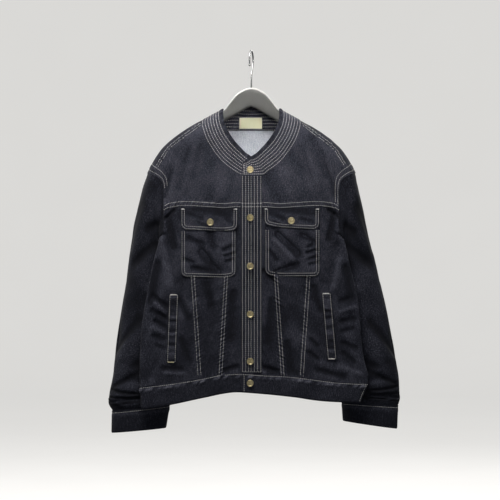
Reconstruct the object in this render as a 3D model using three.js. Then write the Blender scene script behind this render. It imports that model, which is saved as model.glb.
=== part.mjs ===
// A collarless denim jacket, closed with snaps, hung on a wide-shouldered hanger.
// Millimetres, +Z up. The jacket's front faces -Y and +X is the viewer's right.
// The origin is the inside of the hook's crown, which carries the hanger.
import * as THREE from "three";

// Cloth walls and the room between pieces.
const wall = 2.0;
const seamGap = 0.3;
const bandTrim = 0.3; // drawn back on each edge of a band, since its seams curve
const half = seamGap / 2;
const lap = 0.6; // a patch lies this far off the panel under it
const bandWall = 3.2; // neckband and waistband are several layers thick
const cuffWall = 3.0;
const neckRaise = 1.0; // how far the outer faces of the bands stand out from the panels
const waistRaise = 1.2;
const neckLapRise = 3.5; // where one end of a band climbs over the other
const waistLapRise = 3.6;
const edgeShy = 0.003; // keeps a point just inside the side fold

// The body hangs from one ridge. Each cross-section over the ridge is a quarter ellipse on
// either side and falls straight below it.
const ridgeDrop = 60; // height of the rounded part under the ridge
const ridgeLength = 80; // length of cloth counted along that rounded part
const frontDepth = 42; // front cloth, this far forward of the ridge
const backDepth = 36; // back cloth, this far behind the ridge
const foldRound = 15; // width of the rounded edge at a side fold
const foldY = -30; // the side folds lie forward, in front of the sleeves
const foldBackY = -23;
const underarmZ = -440;
const shoulderTipX = 250;
const armholeX = 210; // where the chest seam meets the armhole
const yokeArmholeX = 214;

// Top line of the shoulders, from the centre out.
const ridgeLine = [
  { x: 0, z: -100 },
  { x: 30, z: -112 },
  { x: 67, z: -137 },
  { x: 112, z: -161.5 },
  { x: 160, z: -188 },
  { x: 192, z: -211 },
  { x: 216, z: -234 },
  { x: 236, z: -263 },
  { x: 250, z: -294 },
];

// Half width of the body between its side folds, from the hem up.
const sideLine = [
  { z: -862, left: 262, right: 261 },
  { z: -838, left: 264, right: 263 },
  { z: -800, left: 267, right: 278 },
  { z: -776, left: 268, right: 280 },
  { z: -740, left: 267, right: 270 },
  { z: -668, left: 263, right: 262 },
  { z: -588, left: 251, right: 254 },
  { z: -509, left: 235, right: 234 },
  { z: -475, left: 226, right: 225 },
  { z: -456, left: 220, right: 220 },
  { z: -440, left: 212, right: 212 },
];
const flareAboveUnderarm = 1.2;

// Lower edge of the body cloth and of the waistband, from the viewer's left to the right.
const waistSeamFront = [
  { x: -290, z: -808 },
  { x: -202, z: -797 },
  { x: -128, z: -786 },
  { x: -74, z: -775 },
  { x: -25, z: -772 },
  { x: 23, z: -775 },
  { x: 84, z: -778 },
  { x: 123, z: -782 },
  { x: 208, z: -793 },
  { x: 290, z: -797 },
];
const hemFront = [
  { x: -290, z: -863 },
  { x: -196, z: -849 },
  { x: -116, z: -832 },
  { x: -48, z: -819 },
  { x: 0, z: -820 },
  { x: 101, z: -830 },
  { x: 155, z: -838 },
  { x: 208, z: -842 },
  { x: 290, z: -843 },
];
const waistSeamBack = [
  { x: -290, z: -808 },
  { x: -202, z: -797 },
  { x: -128, z: -786 },
  { x: -74, z: -777 },
  { x: 0, z: -771 },
  { x: 84, z: -777 },
  { x: 123, z: -782 },
  { x: 208, z: -793 },
  { x: 290, z: -797 },
];
const hemBack = [
  { x: -290, z: -863 },
  { x: -196, z: -848.5 },
  { x: -116, z: -831.5 },
  { x: -48, z: -818.5 },
  { x: 0, z: -818 },
  { x: 101, z: -829 },
  { x: 155, z: -837 },
  { x: 208, z: -841.5 },
  { x: 290, z: -843 },
];

// Seams, given on one side and mirrored.
const chestSeamZ = -371;
const backYokeZ = -330;
const lapLeftX = -22.6; // the viewer's right front laps over to here
const lapRightX = 25.2;
const placketTopZ = -297;
const placketFootGap = 1.4; // the placket ends this far above the waistband's seam
const armholeFront = [
  { x: 250, z: -294 },
  { x: 243, z: -294.5 },
  { x: 233, z: -298 },
  { x: 221, z: -305 },
  { x: 213, z: -315 },
  { x: 210, z: -333 },
  { x: 210, z: -371 },
  { x: 209, z: -412 },
  { x: 209.4, z: -427 },
  { x: 210.6, z: -435.5 },
  { x: 212, z: -440 },
];
const armholeBack = [
  { x: 250, z: -294 },
  { x: 243, z: -295 },
  { x: 233, z: -299 },
  { x: 222, z: -311 },
  { x: 214, z: -330 },
  { x: 210, z: -356 },
  { x: 209, z: -412 },
  { x: 209.4, z: -427 },
  { x: 210.6, z: -435.5 },
  { x: 212, z: -440 },
];
const shoulderSeam = [
  { x: 119, z: -178 },
  { x: 160, z: -203 },
  { x: 198, z: -227 },
  { x: 218, z: -258 },
  { x: 233, z: -298 },
];
const neckInner = [
  { x: 21, z: -267 },
  { x: 6, z: -249 },
  { x: 28, z: -229 },
  { x: 44, z: -210 },
  { x: 56, z: -191 },
  { x: 65, z: -169 },
  { x: 67.5, z: -152 },
];
const neckOuter = [
  { x: 23, z: -297 },
  { x: 40, z: -289 },
  { x: 62, z: -273 },
  { x: 80, z: -255 },
  { x: 99, z: -228 },
  { x: 112, z: -202 },
  { x: 119, z: -178 },
];
const neckRidge = { inner: 67.5, outer: 118 };
const neckLapX = 21; // each front half ends this far past the centre
const neckBackInner = [
  { x: 65, z: -139.5 },
  { x: 57, z: -140 },
  { x: 44, z: -138 },
  { x: 24, z: -136 },
  { x: 0, z: -135 },
];
const neckBackOuter = [
  { x: 115, z: -172 },
  { x: 106, z: -181 },
  { x: 90, z: -187 },
  { x: 60, z: -189.5 },
  { x: 30, z: -189 },
  { x: 0, z: -189 },
];
const vSeams = {
  left: { outerTop: 151.6, outerFoot: 123.5, innerTop: 50.3, innerFoot: 74.5 },
  right: { outerTop: 148.6, outerFoot: 120.5, innerTop: 47.3, innerFoot: 75.6 },
};
const vFootZ = -785;

// Soft folds of the cloth: a line from one end to the other, its width and how deep it is.
// A negative depth stands proud.
const frontFolds = [
  { x0: 150, z0: -222, x1: 200, z1: -345, width: 15, depth: 5 },
  { x0: 120, z0: -225, x1: 186, z1: -358, width: 15, depth: -4 },
  { x0: -186, z0: -250, x1: -200, z1: -350, width: 15, depth: 4 },
  { x0: -118, z0: -250, x1: -150, z1: -345, width: 16, depth: 2.5 },
  { x0: 206, z0: -470, x1: 190, z1: -556, width: 15, depth: 4 },
  { x0: -206, z0: -470, x1: -188, z1: -556, width: 15, depth: 4 },
  { x0: 232, z0: -640, x1: 240, z1: -770, width: 14, depth: 4 },
  { x0: -231, z0: -650, x1: -238, z1: -780, width: 14, depth: 4 },
  { x0: 98, z0: -590, x1: 112, z1: -740, width: 18, depth: 3 },
  { x0: -100, z0: -600, x1: -94, z1: -750, width: 18, depth: 3 },
];
const backFolds = [
  { x0: -96, z0: -360, x1: -128, z1: -720, width: 26, depth: 8 },
  { x0: 104, z0: -350, x1: 122, z1: -740, width: 26, depth: 7 },
  { x0: -8, z0: -370, x1: 14, z1: -800, width: 34, depth: -6 },
  { x0: 52, z0: -470, x1: 60, z1: -790, width: 20, depth: 4 },
];

// Sleeves: each row is a slanted ring given by its outer and inner point and its
// depth ahead of and behind the line between them.
// The first row is the armhole, the last one the cuff seam.
const sleeveRows = {
  left: [
    { xo: 250, yo: 0, zo: -294, xi: 212, yi: -30, zi: -440, ahead: 22, behind: 46 },
    { xo: 266, yo: 10, zo: -344, xi: 222, yi: -13, zi: -462, ahead: 32, behind: 40 },
    { xo: 283, yo: 15, zo: -419, xi: 211, yi: 8, zi: -492, ahead: 38, behind: 38 },
    { xo: 295, yo: 20, zo: -501, xi: 198, yi: 20, zi: -530, ahead: 40, behind: 40 },
    { xo: 307, yo: 24, zo: -585, xi: 186, yi: 24, zi: -595, ahead: 42, behind: 42 },
    { xo: 324, yo: 26, zo: -692, xi: 186, yi: 26, zi: -694, ahead: 40, behind: 40 },
    { xo: 333, yo: 26, zo: -770, xi: 192, yi: 26, zi: -766, ahead: 37, behind: 37 },
    { xo: 342, yo: 26, zo: -817, xi: 193, yi: 26, zi: -806, ahead: 38, behind: 38 },
    { xo: 346, yo: 25, zo: -845, xi: 190, yi: 25, zi: -831, ahead: 37, behind: 37 },
    { xo: 336, yo: 24, zo: -866, xi: 197, yi: 24, zi: -850, ahead: 29, behind: 29 },
  ],
  right: [
    { xo: 250, yo: 0, zo: -294, xi: 212, yi: -30, zi: -440, ahead: 22, behind: 46 },
    { xo: 263, yo: 10, zo: -350, xi: 222, yi: -13, zi: -462, ahead: 32, behind: 40 },
    { xo: 281, yo: 15, zo: -432, xi: 211, yi: 8, zi: -493, ahead: 38, behind: 38 },
    { xo: 299, yo: 20, zo: -505, xi: 200, yi: 20, zi: -532, ahead: 40, behind: 40 },
    { xo: 319, yo: 24, zo: -588, xi: 196, yi: 24, zi: -597, ahead: 42, behind: 42 },
    { xo: 343, yo: 26, zo: -700, xi: 200, yi: 26, zi: -697, ahead: 40, behind: 40 },
    { xo: 354, yo: 26, zo: -770, xi: 208, yi: 26, zi: -766, ahead: 37, behind: 37 },
    { xo: 357, yo: 26, zo: -808, xi: 212, yi: 26, zi: -800, ahead: 38, behind: 38 },
    { xo: 359, yo: 25, zo: -834, xi: 213, yi: 25, zi: -825, ahead: 36, behind: 36 },
    { xo: 354, yo: 24, zo: -852, xi: 219, yi: 24, zi: -844, ahead: 29, behind: 29 },
  ],
};
const lastRow = sleeveRows.left.length - 1;
const armholeFade = 3; // the armhole's own outline has faded out by this row
const sleeveGirth = 300; // used to measure folds round the sleeve in millimetres
const sleeveReach = 590;
// Folds on a sleeve: round is the angle from the outer edge through the front, in degrees,
// and down is the distance from the armhole.
const sleeveFolds = [
  { round0: 150, down0: 30, round1: 60, down1: 190, width: 22, depth: 6 },
  { round0: 120, down0: 230, round1: 20, down1: 330, width: 20, depth: 5 },
  { round0: 60, down0: 420, round1: 160, down1: 470, width: 16, depth: 5 },
  { round0: 200, down0: 120, round1: 300, down1: 240, width: 22, depth: 6 },
  { round0: 220, down0: 320, round1: 320, down1: 400, width: 20, depth: 6 },
  { round0: 20, down0: 522, round1: 140, down1: 508, width: 13, depth: 5 },
  { round0: 190, down0: 515, round1: 330, down1: 526, width: 13, depth: 5 },
];
const cuffs = {
  left: { xo: 337, zo: -919, xi: 206, zi: -907, y: 24, depth: 28 },
  right: { xo: 352, zo: -909, xi: 222, zi: -890, y: 24, depth: 28 },
};

// Chest pockets and flaps, as distances from the centre line.
const pockets = {
  left: { inner: 37, outer: 168, footInner: -542, footOuter: -542 },
  right: { inner: 33, outer: 164, footInner: -538, footOuter: -541 },
};
const pocketTopZ = -371.6;
const pocketCorner = 15;
const flaps = {
  left: { inner: 33, outer: 168, footInner: -431, footOuter: -429, snapX: -98, snapZ: -411 },
  right: { inner: 31, outer: 163, footInner: -419, footOuter: -428, snapX: 95.5, snapZ: -407 },
};
const flapTopZ = -377;
const flapCorner = 16;
const welts = {
  left: { topX: -197, topZ: -583, footX: -203, footZ: -748 },
  right: { topX: 168, topZ: -580, footX: 182, footZ: -740 },
};
const weltWidth = 23;

const snapX = -2.6; // centre of the row of snaps
const snapHeights = [-285, -400, -516, -631, -744];
const waistSnapZ = -796;
const snapRadius = 8.2;
const snapHeight = 3.6;
const waistReach = 266; // half width at which the waistband's shares are counted
const waistPlainX = 60;
const waistUnderX = 21; // end of the waistband's under layer
const underlapGap = 1.3;
const sideFootZ = -805; // height used to find the side fold at the waistband's seam

const label = { left: -29, right: 26, top: -157, foot: -184, thick: 1, gap: 0.6 };

// Hanger: outline seen from the front, half depth of the arms, and the hook's wire.
const hangerTop = [
  { x: 0, z: -86.6 },
  { x: 13, z: -89 },
  { x: 26, z: -95.5 },
  { x: 35, z: -102 },
  { x: 44, z: -112 },
  { x: 52, z: -122.5 },
  { x: 62, z: -136.5 },
  { x: 70, z: -143.5 },
];
const hangerFoot = [
  { x: 0, z: -132 },
  { x: 12, z: -137 },
  { x: 62, z: -166 },
  { x: 110, z: -191 },
  { x: 160, z: -217 },
  { x: 196, z: -240 },
  { x: 206, z: -243 },
];
const hangerDepth = [
  { x: 0, depth: 7 },
  { x: 60, depth: 8 },
  { x: 120, depth: 12 },
  { x: 180, depth: 15 },
  { x: 206, depth: 14 },
];
const hangerUnderRidge = 3.25; // room between the cloth's ridge and the arm
const hangerReach = 206;
const hangerRound = 12; // length over which the arm's end rounds off
const hangerEndShare = 0.12;
const hangerSides = 12;
const hangerJoints = [206, 203, 194, 176, 154, 133, 114, 96, 80, 70, 60, 48, 36, 24, 12, 0];
const hangerShoulderX = 76; // from here out the arm follows the cloth's ridge
const hookWire = 2;
const hookTurn = 0.2; // the hook's plane is turned a little about its stem
const hookLine = [
  { y: -20, z: -33 },
  { y: -21.5, z: -19 },
  { y: -15.2, z: -3.8 },
  { y: 0, z: 2 },
  { y: 15.2, z: -3.8 },
  { y: 21.5, z: -19 },
  { y: 17, z: -34 },
  { y: 6, z: -46 },
  { y: 0, z: -60 },
  { y: 0, z: -86.2 },
];

const colours = {
  denim: { color: 0x1d2130, roughness: 0.9, metalness: 0 },
  brass: { color: 0xa8925e, roughness: 0.4, metalness: 1 },
  hanger: { color: 0x5c5d5b, roughness: 0.6, metalness: 0 },
  steel: { color: 0xb8b8b6, roughness: 0.3, metalness: 1 },
  label: { color: 0xe6dfae, roughness: 0.8, metalness: 0 },
};

const jacket = new THREE.Group();
const clamp = (v, low, high) => Math.min(high, Math.max(low, v));
const mix = (a, b, t) => a + (b - a) * t;
const ease = (from, to, v) => THREE.MathUtils.smoothstep((v - from) / (to - from), 0, 1);

// Smooth value of one column of a table, at a value of another column that grows row by row.
function column(table, by, want, at) {
  const last = table.length - 1;
  const v = clamp(at, table[0][by], table[last][by]);
  let i = 0;
  while (i < last - 1 && v > table[i + 1][by]) i += 1;
  const slope = (k) => {
    const a = table[Math.max(0, k - 1)];
    const b = table[Math.min(last, k + 1)];
    return (b[want] - a[want]) / (b[by] - a[by]);
  };
  const span = table[i + 1][by] - table[i][by];
  const t = (v - table[i][by]) / span;
  const rise = table[i + 1][want] - table[i][want];
  const s0 = slope(i) * span;
  const s1 = slope(i + 1) * span;
  return table[i][want] + t * (s0 + t * (3 * rise - 2 * s0 - s1 + t * (s0 + s1 - 2 * rise)));
}

// Depth of a list of folds at one place of the flat cloth.
function foldDepth(folds, u, v) {
  return folds.reduce((sum, f) => {
    const du = f.u1 - f.u0;
    const dv = f.v1 - f.v0;
    const along = clamp(((u - f.u0) * du + (v - f.v0) * dv) / (du * du + dv * dv), 0, 1);
    const away = Math.hypot(u - f.u0 - along * du, v - f.v0 - along * dv) / f.width;
    return sum + f.depth * Math.exp(-away * away);
  }, 0);
}
const flatFold = (f) => ({ ...f, u0: f.x0, v0: f.z0, u1: f.x1, v1: f.z1 });
const roundFold = (f) => ({
  ...f,
  u0: (f.round0 / 360) * sleeveGirth,
  v0: f.down0,
  u1: (f.round1 / 360) * sleeveGirth,
  v1: f.down1,
});
const foldsInFront = frontFolds.map(flatFold);
const foldsBehind = backFolds.map(flatFold);
const foldsRound = sleeveFolds.map(roundFold);

const ridgeZ = (x) => column(ridgeLine, "x", "z", Math.abs(x));

function sideX(x, z) {
  const which = x < 0 ? "left" : "right";
  if (z <= underarmZ) return column(sideLine, "z", which, z);
  return sideLine[sideLine.length - 1][which] + flareAboveUnderarm * (z - underarmZ);
}

// The y of the sheet midway, of the full front and of the full back.
const spineY = (z) => foldY * ease(-300, underarmZ, z);
const frontY = (x, z) => -frontDepth + 6 * (x / 260) ** 2 + foldDepth(foldsInFront, x, z);
function backY(x, z) {
  const forward = ease(120, 200, Math.abs(x)) * ease(-320, underarmZ, z);
  const full = backDepth - foldDepth(foldsBehind, x, z) - 10 * ease(-330, -700, z);
  return mix(full, foldBackY, forward);
}

// A place on the body is x and t: t is the length of cloth from the ridge, negative in front.
function dropAt(t) {
  const length = Math.abs(t);
  if (length > ridgeLength) return ridgeDrop + length - ridgeLength;
  return ridgeDrop * (1 - Math.cos((length / ridgeLength) * Math.PI * 0.5));
}
function lengthAt(drop) {
  if (drop > ridgeDrop) return ridgeLength + drop - ridgeDrop;
  return (ridgeLength * Math.acos(1 - Math.max(0, drop) / ridgeDrop)) / (Math.PI * 0.5);
}
const front = (x, z) => ({ x, t: -lengthAt(ridgeZ(x) - z) });
const back = (x, z) => ({ x, t: lengthAt(ridgeZ(x) - z) });
const ridge = (x) => ({ x, t: 0 });

function roundOff(x, z) {
  const side = Math.max(0, (Math.abs(x) - sideX(x, z) + foldRound) / foldRound);
  const top = Math.max(0, 1 - (ridgeZ(x) - z) / ridgeDrop);
  return side * side + top * top;
}
const fullY = (face, x, z) => (face < 0 ? frontY(x, z) : backY(x, z));

// Zero on the cloth and growing outwards, so its gradient is the cloth's normal.
function outside(face, x, y, z) {
  const deep = (y - spineY(z)) / (fullY(face, x, z) - spineY(z));
  return deep * deep + roundOff(x, z);
}
function bodyPoint({ x, t }) {
  const face = t < 0 ? -1 : 1;
  const z = ridgeZ(x) - dropAt(t);
  const round = Math.sqrt(Math.max(0, 1 - roundOff(x, z)));
  const y = spineY(z) + (fullY(face, x, z) - spineY(z)) * round;
  const e = 0.4;
  const normal = new THREE.Vector3(
    outside(face, x + e, y, z) - outside(face, x - e, y, z),
    outside(face, x, y + e, z) - outside(face, x, y - e, z),
    outside(face, x, y, z + e) - outside(face, x, y, z - e),
  ).normalize();
  return { at: new THREE.Vector3(x, y, z), normal };
}

// A smooth path through places on the flat cloth, met by share of its length.
function pathThrough(places) {
  const table = [{ s: 0, ...places[0] }];
  places.slice(1).forEach((p) => {
    const last = table[table.length - 1];
    table.push({ s: last.s + Math.hypot(p.x - last.x, p.t - last.t), ...p });
  });
  const at = (s) => ({ x: column(table, "s", "x", s), t: column(table, "s", "t", s) });
  return { at, table };
}
// Places along a path between two of its rows, ends included.
function stations(places, from, to, count) {
  const { at, table } = pathThrough(places);
  return even(count).map((u) => at(mix(table[from].s, table[to].s, u)));
}
const mirrored = (places) => places.map(({ x, t }) => ({ x: -x, t }));
const even = (count) => Array.from({ length: count + 1 }, (_, i) => i / count);
// Shares that crowd towards the end, where a fold turns sharply.
const crowded = (count) => even(count).map((u) => Math.sin(u * Math.PI * 0.5));
const crowdedBothWays = (count) => even(count).map((u) => 0.5 + 0.5 * Math.sin((u - 0.5) * Math.PI));

// A patch of places filled in from its four edges: grid[i][j] goes along i, and down j.
function patch(top, foot, start, end, acrossShares, downShares) {
  const across = acrossShares ?? even(top.length - 1);
  const down = downShares ?? even(start.length - 1);
  const rows = start.length - 1;
  const columns = top.length - 1;
  const fill = (i, j, key) => {
    const u = across[i];
    const v = down[j];
    const corners =
      mix(mix(top[0][key], top[columns][key], u), mix(foot[0][key], foot[columns][key], u), v);
    return mix(top[i][key], foot[i][key], v) + mix(start[j][key], end[j][key], u) - corners;
  };
  return top.map((_, i) =>
    Array.from({ length: rows + 1 }, (__, j) => ({ x: fill(i, j, "x"), t: fill(i, j, "t") })));
}

// A closed wall on one or more patches that share edges. Each patch is grid[i][j] of
// { at, normal }, and the wall runs from raise down to raise - thick along the normals.
function wallMesh(name, look, patches, raise, thick) {
  const corners = [];
  const known = new Map();
  const cornerOf = ({ at, normal }) => {
    const key = at.toArray().map((v) => Math.round(v * 500)).join();
    if (!known.has(key)) {
      known.set(key, corners.length);
      corners.push({ at, normal });
    }
    return known.get(key);
  };
  const faces = [];
  patches.forEach((grid) => {
    for (let i = 0; i + 1 < grid.length; i += 1) {
      for (let j = 0; j + 1 < grid[i].length; j += 1) {
        const quad = [grid[i][j], grid[i + 1][j], grid[i + 1][j + 1], grid[i][j + 1]].map(cornerOf);
        faces.push([quad[0], quad[1], quad[2]], [quad[0], quad[2], quad[3]]);
      }
    }
  });
  const used = new Set(faces.flatMap(([a, b, c]) => [`${a},${b}`, `${b},${c}`, `${c},${a}`]));
  const count = corners.length;
  const triangles = [];
  faces.forEach(([a, b, c]) => {
    triangles.push(a, b, c, c + count, b + count, a + count);
    [[a, b], [b, c], [c, a]].forEach(([from, to]) => {
      if (used.has(`${to},${from}`)) return;
      triangles.push(from, from + count, to + count, from, to + count, to);
    });
  });
  const lift = typeof raise === "function" ? raise : () => raise;
  const outer = corners.map((c) => c.at.clone().addScaledVector(c.normal, lift(c.at)));
  const inner = corners.map((c) => c.at.clone().addScaledVector(c.normal, lift(c.at) - thick));
  return solid(name, look, [...outer, ...inner], triangles);
}

// A named mesh from points and triangles, turned so that its faces point out.
function solid(name, look, points, triangles) {
  let volume = 0;
  for (let i = 0; i < triangles.length; i += 3) {
    const [a, b, c] = [points[triangles[i]], points[triangles[i + 1]], points[triangles[i + 2]]];
    volume += a.dot(b.clone().cross(c));
  }
  const order = volume < 0 ? [...triangles].reverse() : triangles;
  const geometry = new THREE.BufferGeometry().setFromPoints(points).setIndex(order);
  return addMesh(name, look, geometry);
}
function addMesh(name, look, geometry) {
  const mesh = new THREE.Mesh(geometry, new THREE.MeshStandardMaterial(look));
  mesh.name = name;
  jacket.add(mesh);
  return mesh;
}
const onBody = (grid) => grid.map((line) => line.map(bodyPoint));

// Armhole places, in front from the shoulder tip to the underarm, and behind.
const frontArmhole = [ridge(shoulderTipX), ...armholeFront.slice(1).map(({ x, z }) => front(x, z))];
const backArmhole = [ridge(shoulderTipX), ...armholeBack.slice(1).map(({ x, z }) => back(x, z))];
const rowsTip = 3;
const rowsUpper = 6;
const rowsUnder = 6;
const rowsBackTip = 4;
const rowsBackYoke = 3;
const rowsBackUnder = 8;
const armhole = {
  tipToSeam: stations(frontArmhole, 0, 2, rowsTip),
  seamToChest: stations(frontArmhole, 2, 6, rowsUpper),
  chestToUnder: stations(frontArmhole, 6, 10, rowsUnder),
  tipToBack: stations(backArmhole, 0, 2, rowsBackTip),
  backToYoke: stations(backArmhole, 2, 4, rowsBackYoke),
  yokeToUnder: stations(backArmhole, 4, 9, rowsBackUnder),
};

// Sleeve surface: s counts the rows and angle goes from the outer edge through the front.
function sleeveRing(side, s, angle) {
  const rows = sleeveRows[side].map((row, i) => ({ ...row, s: i }));
  const get = (key) => column(rows, "s", key, s);
  const sign = side === "left" ? -1 : 1;
  const outer = new THREE.Vector3(sign * get("xo"), get("yo"), get("zo"));
  const inner = new THREE.Vector3(sign * get("xi"), get("yi"), get("zi"));
  const point = outer.clone().lerp(inner, 0.5 - 0.5 * Math.cos(angle));
  const forward = Math.sin(angle);
  point.y -= forward * (forward > 0 ? get("ahead") : get("behind"));
  return point;
}
function armholeRing(side) {
  const sign = side === "left" ? -1 : 1;
  const forward = [
    ...armhole.tipToSeam, ...armhole.seamToChest.slice(1), ...armhole.chestToUnder.slice(1)];
  const behind = [
    ...armhole.tipToBack, ...armhole.backToYoke.slice(1), ...armhole.yokeToUnder.slice(1)];
  const place = ({ x, t }) => bodyPoint({ x: sign * x, t });
  const shares = (points) => {
    const lengths = [0];
    points.slice(1).forEach((p, i) => lengths.push(lengths[i] + p.at.distanceTo(points[i].at)));
    return lengths.map((l) => l / lengths[lengths.length - 1]);
  };
  const ahead = forward.map(place);
  const after = behind.map(place);
  const aheadShare = shares(ahead);
  const afterShare = shares(after);
  const ring = ahead.map((p, i) => ({ ...p, angle: Math.PI * aheadShare[i] }));
  for (let i = after.length - 2; i > 0; i -= 1) {
    ring.push({ ...after[i], angle: Math.PI * (2 - afterShare[i]) });
  }
  return ring;
}
const rings = { left: armholeRing("left"), right: armholeRing("right") };

function sleevePoint(side, seam, s) {
  const fade = 1 - ease(0, armholeFade, s);
  const point = sleeveRing(side, s, seam.angle);
  const shift = seam.at.clone().sub(sleeveRing(side, 0, seam.angle)).multiplyScalar(fade);
  const round = (seam.angle / (Math.PI * 2)) * sleeveGirth;
  const down = (s / lastRow) * sleeveReach;
  const atEnds = ease(0, 0.8, s) * ease(lastRow, lastRow - 0.6, s);
  const depth = foldDepth(foldsRound, round, down) * atEnds;
  const inward = fromCentre(side, s, point).multiplyScalar(-depth);
  return point.add(shift).add(inward);
}
function fromCentre(side, s, point) {
  const centre = sleeveRing(side, s, 0).lerp(sleeveRing(side, s, Math.PI), 0.5);
  return point.clone().sub(centre).normalize();
}
// The normal at a point of a ring. Under the arm the rings run almost along the sleeve, and
// there it turns towards the direction away from the ring's centre.
function sleeveNormal(side, seams, i, s) {
  const count = seams.length;
  const before = sleevePoint(side, seams[(i + count - 1) % count], s);
  const after = sleevePoint(side, seams[(i + 1) % count], s);
  const up = sleevePoint(side, seams[i], Math.max(0, s - 0.15));
  const down = sleevePoint(side, seams[i], Math.min(lastRow, s + 0.15));
  const normal = after.sub(before).cross(down.sub(up)).normalize();
  if (side === "left") normal.negate();
  const away = fromCentre(side, s, sleevePoint(side, seams[i], s));
  return normal.lerp(away, ease(0.5, 0, normal.dot(away))).normalize();
}

// The seam's shared normal keeps the walls on its two sides from crossing.
const leastMitre = 0.55;
["left", "right"].forEach((side) => {
  const seams = rings[side];
  seams.forEach((seam, i) => {
    const own = sleeveNormal(side, seams, i, 0);
    const shared = own.clone().add(seam.normal).normalize();
    const stretch = 1 / Math.max(leastMitre, shared.dot(seam.normal));
    seam.shared = shared.multiplyScalar(stretch);
  });
});
// Body places on an armhole take the seam's shared normal.
function withSeam(side, line, ringFrom, step) {
  const seams = rings[side];
  return line.map((corner, j) => {
    const seam = seams[(ringFrom + step * j + seams.length) % seams.length];
    return { at: corner.at, normal: seam.shared };
  });
}

// Where along the rows the sleeve's rings lie, closer together where it folds above the cuff.
const sleeveStations = [0, 0.5, 1, 1.7, 2.5, 3.5, 4.6, 5.7, 6.6, 7.2, 7.8, 8.4, 9];
const rowsOnUpper = 5; // how far behind the ridge the upper sleeve reaches
function sleeveGrid(side, from, to) {
  const seams = rings[side];
  const count = seams.length;
  const grid = [];
  for (let i = from; i <= to; i += 1) {
    const k = ((i % count) + count) % count;
    const line = sleeveStations.map((s, j) => {
      const at = sleevePoint(side, seams[k], s);
      const normal = j === 0 ? seams[k].shared.clone() : sleeveNormal(side, seams, k, s);
      return { at, normal };
    });
    grid.push(line);
  }
  const first = grid.map((line) => line[1].at.clone().sub(line[0].at).setLength(seamGap));
  grid.forEach((line, i) => line[0].at.add(first[i]));
  return grid;
}

// Moves the first and last line of a grid inwards by half a seam gap.
function trimmed(grid, by = half) {
  const last = grid.length - 1;
  const pull = (line, next) => line.map((corner, j) => {
    const step = next[j].at.clone().sub(corner.at).setLength(by);
    return { ...corner, at: corner.at.clone().add(step) };
  });
  return grid.map((line, i) => {
    if (i === 0) return pull(line, grid[1]);
    if (i === last) return pull(line, grid[last - 1]);
    return line;
  });
}
const turned = (grid) => grid[0].map((_, j) => grid.map((line) => line[j]));
// Room on all four edges.
const eased = (grid, by = half) => turned(trimmed(turned(trimmed(grid, by)), by));

function buildSleeve(side) {
  const seams = rings[side];
  const under = rowsTip + rowsUpper + rowsUnder; // the underarm's place in the ring
  const backSeam = seams.length - rowsOnUpper;
  const upper = trimmed(sleeveGrid(side, backSeam - seams.length, under));
  const lower = trimmed(sleeveGrid(side, under, backSeam));
  wallMesh(`sleeve_upper_${side}`, colours.denim, [upper], 0, wall);
  wallMesh(`sleeve_under_${side}`, colours.denim, [lower], 0, wall);
}

function buildCuff(side) {
  const sign = side === "left" ? -1 : 1;
  const steps = 24;
  const top = sleeveRows[side][lastRow];
  const foot = cuffs[side];
  const heights = [0, 1];
  const grid = even(steps).map((u) => {
    const angle = u * Math.PI * 2;
    return heights.map((v) => {
      const centreX = mix(top.xo + top.xi, foot.xo + foot.xi, v) / 2;
      const halfX = mix(top.xo - top.xi, foot.xo - foot.xi, v) / 2;
      const centreZ = mix(top.zo + top.zi, foot.zo + foot.zi, v) / 2 - seamGap * (1 - v);
      const slant = mix(top.zo - top.zi, foot.zo - foot.zi, v) / 2;
      const depth = mix(top.ahead, foot.depth, v);
      const at = new THREE.Vector3(
        sign * (centreX + halfX * Math.cos(angle)),
        foot.y - depth * Math.sin(angle),
        centreZ + slant * Math.cos(angle),
      );
      const normal =
        new THREE.Vector3(sign * depth * Math.cos(angle), -halfX * Math.sin(angle), 0).normalize();
      return { at, normal };
    });
  });
  wallMesh(`cuff_${side}`, colours.denim, [grid], 1, cuffWall);
}

// Front pieces of one side.
function neckPaths(side) {
  const sign = side === "left" ? -1 : 1;
  const inner = [...neckInner.map(({ x, z }) => front(x, z)), ridge(neckRidge.inner)];
  const outer = [...neckOuter.map(({ x, z }) => front(x, z)), ridge(neckRidge.outer)];
  outer[0] = front(lapEdge[side], placketTopZ);
  inner[0].x = -inner[0].x;
  const lapEnd = { x: -neckLapX, t: front(neckLapX, placketTopZ).t };
  const outerLap = [lapEnd, ...outer];
  const turn = (places) => places.map((p) => ({ x: sign * p.x, t: p.t }));
  return { inner: turn(inner), outer: turn(outerLap) };
}
function buildNeckbandFront(side) {
  const { inner, outer } = neckPaths(side);
  // The lap, the curve down the front and the turn over the shoulder.
  const outerLine = [
    ...stations(outer, 0, 1, 2),
    ...stations(outer, 1, 7, 8).slice(1),
    ...stations(outer, 7, 8, 3).slice(1),
  ];
  const innerLine = [
    ...stations(inner, 0, 1, 2),
    ...stations(inner, 1, 6, 8).slice(1),
    ...stations(inner, 6, 7, 3).slice(1),
  ];
  const grid = innerLine.map((p, i) => between(p, outerLine[i], 4));
  const rise = side === "right" ? neckLapRise : 0;
  const raise = (at) => neckRaise + rise * ease(58, 30, at.x);
  wallMesh(`neckband_front_${side}`, colours.denim, [eased(onBody(grid), bandTrim)], raise, bandWall);
}
const between = (from, to, count) =>
  even(count).map((v) => ({ x: mix(from.x, to.x, v), t: mix(from.t, to.t, v) }));
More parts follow.
